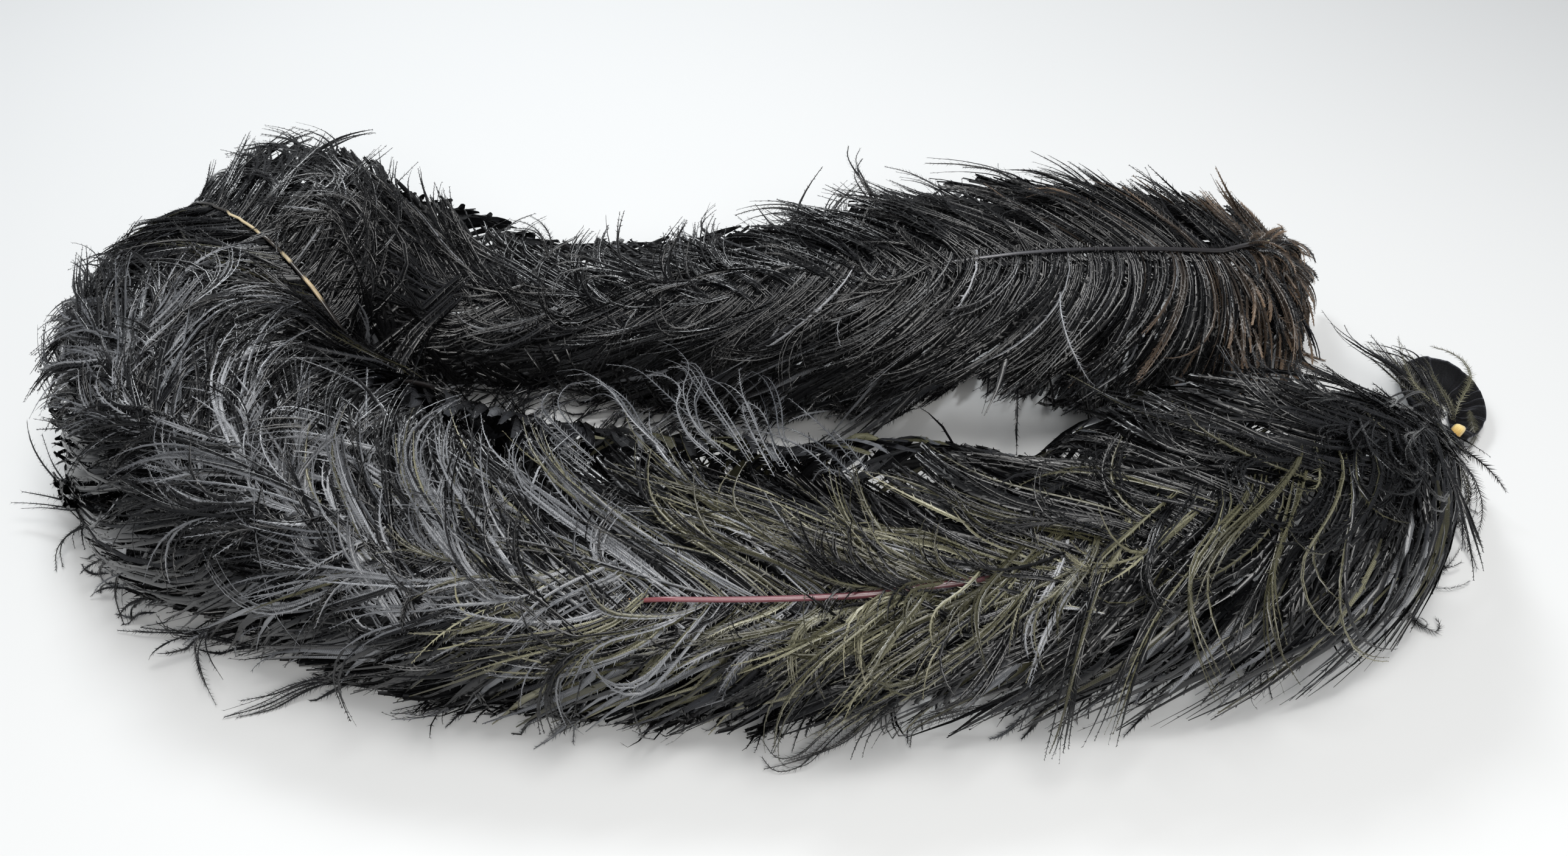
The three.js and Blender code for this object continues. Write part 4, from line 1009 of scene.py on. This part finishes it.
far3 = Plume(*plan_path([(-226, 632), (-262, 652), (-316, 691), (-388, 749), (-440, 795), (-470, 826)]), row=-1)
make_plume("plume_far_3_top", far3,
           inner=spec(L=I((0, 100), (100, 122), (200, 116), (300, 80)), th0=I((0, 60), (300, 46)), th1=I((0, 34), (300, 16)),
                      lift=I((0, 0)), vc=20, tone=tone_mix((1, *BLACK), (0.20, 0.50, 0.56), (0.06, *BLUE_BLACK_PAINTED_SHEEN))),
           outer=spec(L=I((0, 118), (150, 122), (300, 86)), th0=I((0, 86), (200, 80), (300, 56)), th1=I((0, 66), (200, 60), (300, 30)),
                      curl=I((0, -62), (200, -55), (300, -30)), vc=34, lift=I((0, 0)), tip=I((0, 10), (200, 11), (300, 8)), vt=5,
                      tone=tone_mix((1, *BLACK), (0.08, *BLUE_BLACK_PAINTED_SHEEN), (0.06, 0.50, 0.56))),
           seed=13, shaft=MAT_SHAFT_CREAM, shaft_lift=I((0, -2), (60, 1.4), (230, 1.4), (280, -2)), shaft_r=(2.2, 0.5),
           base=(240, 270), loose=(345, 375), line=(1040, 1210))

# near run, from the ribbon end
near1 = Plume(*run_path(2, 440), row=1)
make_plume("plume_near_1_top", near1,
           inner=spec(x0=12, L=I((0, 90), (60, 126), (300, 130), (440, 96)), th0=I((0, 60), (60, 50), (440, 44)), th1=I((0, 44), (60, 44), (300, 34), (440, 20)),
                      lift=I((0, -11), (50, -9), (95, 0)), tip=I((0, 2), (50, 6), (95, 9), (440, 6)), vt=6, vc=42, curl=I((0, 10), (60, 16), (200, 24)),
                      tone=tone_mix((1, *BLACK), (lambda x: np.interp(x, [0, 30, 200, 260], [0.2, 0.03, 0.05, 0.4]), *OLIVE), (0.05, *BLUE_BLACK_PAINTED_SHEEN))),
           outer=spec(x0=12, L=I((0, 58), (50, 80), (130, 112), (300, 124), (440, 96)), th0=I((0, 16), (60, 30), (140, 46), (200, 50), (440, 46)),
                      th1=I((0, 0), (60, 10), (140, 22), (200, 22), (440, 12)),
                      lift=I((0, -12), (50, -11), (95, 0)), tip=I((0, 0), (60, 2), (95, 5)), curl=I((0, -14), (120, 4)), vc=58, vt=10, wild=1.8,
                      tone=tone_mix((lambda x: np.interp(x, [0, 120, 200], [1, 1, 0.55]), *BLACK),
                                    (lambda x: np.interp(x, [0, 60, 120, 220, 300], [0.02, 0.03, 0.08, 0.32, 0.45]), *OLIVE), (0.07, *BLUE_BLACK_PAINTED_SHEEN))),
           seed=21, line=(8, 350, 0.12), extra=lambda sp, rng: near1_ends(sp, rng, True))

MAUVE = np.array([(300, 0.45), (368, 0.58), (440, 0.63), (563, 0.665), (640, 0.69), (715, 0.62)], float)
near2 = Plume(*run_path(318, 715, table=MAUVE), row=1)
make_plume("plume_near_2_top", near2,
           inner=spec(L=I((0, 138), (200, 165), (300, 150), (400, 110)), th0=I((0, 34), (150, 40), (400, 44)), th1=I((0, 16), (150, 22), (400, 34)),
                      tau=I((0, 0.4)), lift=I((0, -5), (60, -1), (400, 0)), curl=I((0, 4), (200, 14), (400, 46)), wild=1.0, tip=I((0, 4), (200, 7)),
                      across=I((0, 10), (50, 8), (75, 1), (236, 1), (256, 17), (400, 20)),
                      tone=tone_mix((lambda x: np.interp(x, [0, 120, 200], [0.4, 0.5, 0.9]), *BLACK), (lambda x: np.interp(x, [0, 110, 170, 230], [1.0, 0.85, 0.35, 0.06]), *OLIVE), (lambda x: np.interp(x, [0, 150, 250], [0.3, 0.5, 1.0]), *BLUE_BLACK_PAINTED_SHEEN))),
           outer=spec(L=I((0, 100), (80, 92), (220, 96), (400, 92)), th0=I((0, 66), (400, 62)), th1=I((0, 26), (120, 14), (400, 10)),
                      tau=I((0, 0.22)), lift=I((0, -3), (60, -1)), tip=I((0, 3)), across=I((0, 10), (50, 8), (75, 1), (236, 1), (256, 17), (400, 20)),
                      tone=tone_mix((0.55, *BLACK), (lambda x: np.interp(x, [0, 200, 300], [0.6, 0.5, 0.12]), *OLIVE), (0.42, *BLUE_BLACK_PAINTED_SHEEN))),
           seed=22, shaft=MAT_SHAFT_MAUVE, shaft_lift=I((0, -5), (50, -3), (75, 3.6), (110, 6.0), (160, 5.4), (236, 4.0), (247, -3), (400, -4)),
           shaft_r=(2.7, 0.5), loose=(405, 350), line=(335, 620, 0.26),
           extra=lambda sp, rng: (strays(sp, "front", rng, copies=3, spread=3.5, w=0.6, M=34),
                                  # the valley strays lie on the blue-black rows, partly painted silver sheen
                                  strays(sp, "valley", rng, tone=(0.27, 0.345), copies=6, spread=13.0, w=0.5, M=28),
                                  fringe(sp, 455, 640, -1, 130, rng, 48, (55, 95), INK_AND_PAINTED_SHEEN, 1),
                                  fringe(sp, 330, 620, 1, 70, rng, 66, (20, 42), INK_AND_PAINTED_SHEEN, 1, qr=(0.45, 0.82))))

near3 = Plume(*run_path(528, 900), row=1)
make_plume("plume_near_3_top", near3,
           inner=spec(L=I((0, 110), (120, 138), (300, 130), (400, 96)), th0=I((0, 46), (400, 44)), th1=I((0, 30), (400, 30)),
                      lift=I((0, -8), (100, -4), (160, 0), (400, 0)), curl=I((0, 30), (150, 54), (400, 44)), vc=46, tip=I((0, 7)), vt=5,
                      wild=1.4, tone=tone_mix((0.85, *BLACK), (0.65, *BLUE_BLACK_PAINTED_SHEEN), (lambda x: np.interp(x, [0, 50], [0.12, 0.0]), *OLIVE))),
           outer=spec(L=I((0, 92), (120, 100), (300, 94), (400, 78)), th0=I((0, 52), (400, 46)), th1=I((0, 20), (400, 16)),
                      lift=I((0, -8), (100, -3), (150, 0)), curl=I((0, 6)), vc=40, tip=I((0, 3)), wild=1.2,
                      tone=tone_mix((0.7, *BLACK), (0.75, *BLUE_BLACK_PAINTED_SHEEN))),
           seed=23, line=(600, 840), extra=lambda sp, rng: (fringe(sp, 600, 800, -1, 150, rng, 40, (60, 100), INK_AND_PAINTED_SHEEN, 1),
                                           fringe(sp, 560, 800, 1, 90, rng, 64, (20, 44), INK_AND_PAINTED_SHEEN, 1, qr=(0.5, 0.84)), strays(sp, "front_left", rng, copies=3, spread=3.5, w=0.6, M=34),
                                           # the bend strands take the light end of the blue-black rows, a painted
                                           # silver sheen
                                           strays(sp, "bend_painted_sheen", rng, tone=(0.35, 0.39), copies=3, spread=5.0, w=0.45, M=34)))

near4 = Plume(*plan_path([(-186, 470), (-250, 486), (-318, 520), (-386, 578), (-440, 640), (-462, 672)]), row=1)
make_plume("plume_near_4_top", near4,
           inner=spec(L=I((0, 116), (160, 140), (300, 118), (400, 84)), th0=I((0, 58), (400, 44)), th1=I((0, 40), (300, 26), (400, 14)),
                      lift=I((0, -8), (90, -4), (150, 0)), curl=I((0, 30), (200, 20), (400, -10)), vc=50, tip=I((0, 7)), vt=6, wild=1.3,
                      tone=tone_mix((0.9, *BLACK), (0.42, *BLUE_BLACK_PAINTED_SHEEN))),
           outer=spec(L=I((0, 88), (160, 94), (300, 86), (400, 70)), th0=I((0, 50), (400, 40)), th1=I((0, 22), (400, 10)),
                      lift=I((0, -6), (90, -2), (150, 0)), curl=I((0, 8)), vc=44, tip=I((0, 4)), wild=1.3,
                      tone=tone_mix((1, *BLACK), (0.55, *BLUE_BLACK_PAINTED_SHEEN))),
           seed=24, line=(820, 1060), extra=lambda sp, rng: (strays(sp, "left", rng, copies=3, spread=4.0, w=0.6, M=34),
                                           fringe(sp, 820, 1140, -1, 110, rng, 30, (40, 80), INK_AND_PAINTED_SHEEN, 1, low=0.3, high=1.0),
                                           fringe(sp, 780, 1060, 1, 170, rng, 50, (16, 36), INK_AND_PAINTED_SHEEN, 1, high=0.95)))


# the plumes that lie face down under them
def under(name, s0, s1, u, row, seed, slot="feather_black", flanks=(80, 130), tone=None, extra=None, reach=1.0, fan=1.0):
    pl = Plume(np.linspace(s0, s1, 100), np.full(100, u), row=row, under=True)
    tone = tone or tone_mix((1, *BLACK), (0.12, *BLUE_BLACK_PAINTED_SHEEN))
    one = spec(x0=10, L=I((0, 14), (40, 56), (100, 130), (300, 138), (440, 108)), th0=I((0, 68), (400, 60)), th1=I((0, 50), (400, 36)), tau=I((0, 0.5)),
               lift=I((0, 1)), tip=I((0, 3)), vt=3, vc=30, bl=I((0, 4.8)), tone=tone)
    a, b = flanks
    out = dict(one, L=(one["L"][0], reach * one["L"][1]))
    out["th0"] = (one["th0"][0], fan * one["th0"][1])
    out["th1"] = (one["th1"][0], fan * one["th1"][1])
    make_plume(name, pl, one, out, seed, base=(a, b), loose=(a, b), kb=(7, 9), kl=(9, 13),
               shaft_r=(2.0, 0.5), shaft_lift=0.0, extra=extra)


under("plume_far_1_under", LEN - 5, LEN - 430, 0.3, -1, 31, slot="feather_brown_tipped", flanks=(120, 90),
      tone=tone_mix((1, *BLACK), (lambda x: np.interp(x, [0, 120], [0.8, 0.05]), *BROWN)))
under("plume_far_2_under", 1530, 1095, 0.3, -1, 32, flanks=(110, 90), reach=0.62, fan=0.7)
under("plume_far_3_under", 1190, 900, 0.3, -1, 33, flanks=(70, 120))
under("plume_near_1_under", 4, 440, -0.30, 1, 34, flanks=(80, 125), reach=0.85, fan=0.5, extra=lambda sp, rng: near1_ends(sp, rng, False))
under("plume_near_2_under", 318, 715, -0.30, 1, 35, slot="feather_olive", flanks=(80, 125), reach=0.88)
under("plume_near_3_under", 528, 860, -0.30, 1, 36, flanks=(80, 125), reach=0.8)
under("plume_near_4_under", 715, 1000, 0.10, 1, 37, flanks=(60, 140), reach=0.72)


# --------------------------------------------------------------- velvet ribbon
LOOP = np.array([
    (459.4, 638.0, 13.5, 458.7, 638.8, 2.4), (465.6, 641.8, 13.2, 463.6, 644.4, 1.8),
    (475, 647.5, 12.4, 467.5, 655.0, 1.0), (486, 655.5, 12, 471.5, 666.0, 0.6),
    (496, 667, 12, 477.5, 676, 0.5), (501.5, 681, 12.5, 482.5, 686, 0.5),
    (503, 696, 13, 484.5, 696.5, 0.5), (500, 710, 13, 483.5, 704.5, 0.5),
    (493.5, 721.5, 13, 480.5, 709.5, 0.5), (483, 728.5, 13, 475.5, 712, 0.5),
    (471, 731, 13, 469.8, 712.4, 0.5), (458.5, 727.5, 12.5, 464.5, 709.8, 0.5),
    (449, 718.5, 12.5, 460.5, 704, 0.5), (443, 706, 12, 459, 696.5, 0.5),
    (440.5, 691, 12, 457.5, 688.5, 0.5), (439.5, 677.5, 12, 455.3, 679, 0.6),
    (439.8, 667, 12.5, 451.4, 670, 1.0), (442, 658.5, 13, 448.6, 661, 1.6),
    (446.9, 651.2, 13.5, 447.5, 650.6, 2.4)], float)


def ribbon():
    """The loop as one strip of velvet with a back and a face, gathered across its length."""
    F = catmull(LOOP, 14)
    n, W = len(F), 13
    pull = np.sin(np.pi * np.linspace(0, 1, n))[:, None] ** 0.6
    F[:, 3:5] += (np.array([467.0, 684.0]) - F[:, 3:5]) * 0.66 * pull      # the folds close the eye
    F[:, 5:6] += 2.2 * pull
    F[:, 0] = np.where(F[:, 0] > 462, 462 + 0.80 * (F[:, 0] - 462), F[:, 0])
    F[:, 3] = np.where(F[:, 3] > 466, 466 + 0.80 * (F[:, 3] - 466), F[:, 3])
    q = np.linspace(0, 1, W)[None, :, None]
    mid = 0.5 * (F[:, :3] + F[:, 3:])
    d = np.r_[0, np.cumsum(np.linalg.norm(np.diff(mid, axis=0), axis=1))]
    G = F[:, None, 3:] * (1 - q) + F[:, None, :3] * q                      # inner edge to outer edge
    al = unit(np.gradient(mid, axis=0))[:, None]
    nr = unit(np.cross(unit(F[:, :3] - F[:, 3:])[:, None], al))
    nr = np.broadcast_to(nr, G.shape)
    rng = np.random.default_rng(5)
    ph = np.interp(d, np.linspace(0, d[-1], 40), np.cumsum(rng.uniform(0.3, 1.9, 40)) * d[-1] / 40 / 10.5 * 2 * math.pi)
    tw = 1.3 * q[..., 0] * np.interp(d, np.linspace(0, d[-1], 9), rng.normal(0, 1, 9))[:, None]
    wave = 0.75 * np.sin(ph[:, None] + tw) + 0.25 * np.sin(2.7 * ph[:, None] - 1.5 * tw + 1.0)
    wave = wave + 1.0 * np.sin(2.6 * np.pi * q[..., 0] + 1.6 * np.sin(d / 23.0 + 0.5)[:, None])      # folds along the ribbon
    depth_in = (1.15 - 0.55 * q[..., 0])                                   # deeper where it is pulled tight
    sag = 0.8 * np.sin(np.pi * q[..., 0]) - 0.9 * q[..., 0] ** 4
    ends = smooth(d, 0, 14) * smooth(d[-1] - d, 0, 14)
    h = (1.3 * wave * depth_in + sag) * (0.35 + 0.65 * ends[:, None])
    G = G + nr * h[..., None]
    G[..., 2] = np.maximum(G[..., 2], 1.0)
    th = 0.65
    A, B = G + nr * th, G - nr * th
    V = np.concatenate([A, B[:, ::-1]], 1)                                 # a closed ring of 2W points
    m = 2 * W
    i, j = np.meshgrid(np.arange(n - 1), np.arange(m), indexing="ij")
    quad = np.stack([i * m + j, i * m + (j + 1) % m, (i + 1) * m + (j + 1) % m, (i + 1) * m + j], -1)
    uv = np.zeros((n, m, 2))
    uv[..., 0] = (0.02 + 0.96 * d / d[-1])[:, None]
    uv[:, :W, 1] = 0.02 + 0.44 * np.linspace(0, 1, W)
    uv[:, W:, 1] = 0.98 - 0.44 * np.linspace(0, 1, W)
    sp = Soup()
    cut = np.array([[j2, j2 + 1, m - 2 - j2, m - 1 - j2] for j2 in range(W - 1)])
    sp.add(V, uv, quad=np.concatenate([quad[..., ::-1].reshape(-1, 4), cut, (n - 1) * m + cut[:, ::-1]]))    # closed at both cut ends
    return sp, float(d[-1])


def velvet_material():
    m, nt, bs = new_mat("black_velvet")
    L = nt.links.new
    tc = nt.nodes.new("ShaderNodeTexCoord")
    nz = nt.nodes.new("ShaderNodeTexNoise"); nz.inputs["Scale"].default_value = 900.0; nz.inputs["Detail"].default_value = 2
    L(tc.outputs["Object"], nz.inputs["Vector"])
    r = ramp(nt, [(0.3, (0.0022, 0.0022, 0.0026)), (0.75, (0.0075, 0.0075, 0.0085))])
    L(nz.outputs["Fac"], r.inputs[0]); L(r.outputs[0], bs.inputs["Base Color"])
    bp = nt.nodes.new("ShaderNodeBump"); bp.inputs["Strength"].default_value = 0.5; bp.inputs["Distance"].default_value = 0.0005
    L(nz.outputs["Fac"], bp.inputs["Height"]); L(bp.outputs[0], bs.inputs["Normal"])
    bs.inputs["Roughness"].default_value = 0.95
    bs.inputs["Specular IOR Level"].default_value = 0.15
    bs.inputs["Sheen Weight"].default_value = 0.65
    bs.inputs["Sheen Roughness"].default_value = 0.35
    bs.inputs["Sheen Tint"].default_value = (0.5, 0.52, 0.6, 1)
    return m


MAT_VELVET = velvet_material()
rib, rib_len = ribbon()
velvet = rib.make("velvet_loop_gathered", [MAT_VELVET], smooth_mats=(0,))
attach(velvet, "root")
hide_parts("velvet_loop")


# --------------------------------------------------------------------- threads
def thread_material():
    m, nt, bs = new_mat("sewing_thread")
    L = nt.links.new
    uvn = nt.nodes.new("ShaderNodeUVMap"); uvn.uv_map = "OFBake"
    mp = nt.nodes.new("ShaderNodeMapping"); mp.inputs["Scale"].default_value = (240.0, 6.0, 1.0); mp.inputs["Rotation"].default_value = (0, 0, 0.6)
    L(uvn.outputs["UV"], mp.inputs[0])
    wv = nt.nodes.new("ShaderNodeTexWave"); wv.inputs["Scale"].default_value = 1.0
    L(mp.outputs[0], wv.inputs["Vector"])
    r = ramp(nt, [(0.0, (0.006, 0.006, 0.007)), (1.0, (0.030, 0.030, 0.034))])
    L(wv.outputs["Fac"], r.inputs[0]); L(r.outputs[0], bs.inputs["Base Color"])
    bs.inputs["Roughness"].default_value = 0.62
    bs.inputs["Sheen Weight"].default_value = 0.3
    return m


MAT_THREAD = thread_material()


def winding():
    """Turns of thread round the quills and the ribbon's tails."""
    rng = np.random.default_rng(8)
    f = At(np.array([0.0]))
    ex, ey = -float(f.tx[0]), -float(f.ty[0])
    nx, ny = -float(f.ty[0]), float(f.tx[0])
    turns, per = 11, 30
    t = np.linspace(0, 1, turns * per)
    a = t * turns * 2 * math.pi
    r = 1 + 0.035 * np.sin(a * 0.37 + 1) + 0.03 * np.interp(a, np.linspace(0, a[-1], 60), rng.normal(0, 1, 60))
    c, s = np.cos(a), np.sin(a)
    lat = 10.6 * r * np.sign(c) * np.abs(c) ** 0.55
    z = 9.2 + 8.0 * np.clip(r, 0.9, 1.04) * np.sign(s) * np.abs(s) ** 0.55
    e = 3.9 + 4.7 * t + 0.35 * np.sin(a * 0.5 + 0.4)
    P = np.stack([float(f.x[0]) + ex * e + nx * lat, float(f.y[0]) + ey * e + ny * lat, np.maximum(z, 0.9)], 1)
    sp = Soup()
    add_tube(sp, P, 0.42, 6, N=np.stack([np.full(len(a), ex), np.full(len(a), ey), np.zeros(len(a))], 1))
    # the thread's cut tail and a knot
    k = P[-1] + np.array([[0, 0, 0], [ex * 1.5, ey * 1.5, 1.0], [ex * 4 + nx, ey * 4 + ny, 0.5], [ex * 8 + nx * 3, ey * 8 + ny * 3, -1.0],
                          [ex * 12 + nx * 3.5, ey * 12 + ny * 3.5, -3.0]])
    add_tube(sp, catmull(k, 8), 0.34, 6)
    return sp


wind = winding().make("binding_thread_turns", [MAT_THREAD], smooth_mats=(0,))
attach(wind, "root")
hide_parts("binding_thread")

for i, s_at in enumerate((1579, 1607, 1691)):
    rng = np.random.default_rng(60 + i)
    x_at = float(np.interp(-s_at, -far1.s, far1.x))
    sp = Soup()
    for turn in range(3):
        x = x_at + (turn - 1) * 0.9 + rng.normal(0, 0.1)
        s0, p0 = far1.at(np.array([x]))
        C, N0, _, _, _ = surface(s0, p0, np.array([1.5]), False)
        h = far1.heading(np.array([x]))[0]
        T0 = np.array([h[0], h[1], 0.0]); T0 = T0 - N0[0] * T0.dot(N0[0]); T0 /= np.linalg.norm(T0)
        S0 = np.cross(T0, N0[0])
        a = np.linspace(-0.35, math.pi + 0.35, 15)
        rr = 2.15 - 0.25 * turn * 0.5
        P = C[0] + S0 * (np.cos(a) * rr)[:, None] + N0[0] * (np.sin(a) * rr * 0.85)[:, None] + T0 * (0.5 * np.cos(a) * (1 if turn % 2 else -1))[:, None]
        add_tube(sp, P, 0.26, 6, N=np.tile(T0, (15, 1)))
    st = sp.make(f"stitch_{i + 1}_turns", [MAT_THREAD], smooth_mats=(0,))
    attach(st, "root")
    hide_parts(f"stitch_{i + 1}")


# ---------------------------------------------------------------------- stage
bpy.ops.mesh.primitive_grid_add(x_subdivisions=20, y_subdivisions=20, size=1)
floor = bpy.context.object
floor.name = "floor"
floor.scale = (9, 9, 1)
fm, nt, bs = new_mat("floor_pale")
nz = nt.nodes.new("ShaderNodeTexNoise"); nz.inputs["Scale"].default_value = 6.0
mr = ramp(nt, [(0.3, (0.64, 0.648, 0.65)), (0.7, (0.67, 0.675, 0.675))])
nt.links.new(nz.outputs["Fac"], mr.inputs[0]); nt.links.new(mr.outputs[0], bs.inputs["Base Color"])
bs.inputs["Roughness"].default_value = 0.9
bs.inputs["Specular IOR Level"].default_value = 0.2
floor.data.materials.append(fm)

# --------------------------------------------------------------- light, camera
world = bpy.data.worlds.new("soft_room")
bpy.context.scene.world = world
world.use_nodes = True
world.node_tree.nodes["Background"].inputs[0].default_value = (0.90, 0.94, 1.0, 1)
world.node_tree.nodes["Background"].inputs[1].default_value = 0.30


def area(name, loc, target, size, power, color=(1, 1, 1)):
    d = bpy.data.lights.new(name, "AREA")
    d.shape = "RECTANGLE"
    d.size, d.size_y = size
    d.energy = power
    d.color = color
    o = bpy.data.objects.new(name, d)
    bpy.context.collection.objects.link(o)
    o.location = loc
    o.rotation_euler = (Vector(target) - Vector(loc)).to_track_quat("-Z", "Y").to_euler()
    return o


area("window", (-0.55, 1.0, 1.5), (0, 0, 0.05), (0.5, 0.4), 17, (0.95, 0.98, 1.0))
area("overhead", (0.20, -0.15, 1.9), (0.05, 0, 0), (0.9, 0.7), 23, (1.0, 0.99, 0.97))
area("fill", (0.20, -1.45, 1.36), (0.08, 0.0, 0.03), (1.1, 0.7), 20, (1.0, 0.98, 0.95))

cam_d = bpy.data.cameras.new("camera")
cam_d.sensor_width = 36.0
cam_d.lens = 2100.0 / 2576.0 * 36.0
cam_d.clip_start = 0.01
cam = bpy.data.objects.new("camera", cam_d)
bpy.context.collection.objects.link(cam)
cam.location = (OFF[0] / 1000, OFF[1] / 1000, 0.6023)
cam.rotation_euler = (math.radians(90 - 42.0775), 0, 0)
bpy.context.scene.camera = cam
bpy.context.scene.view_settings.view_transform = "Standard"
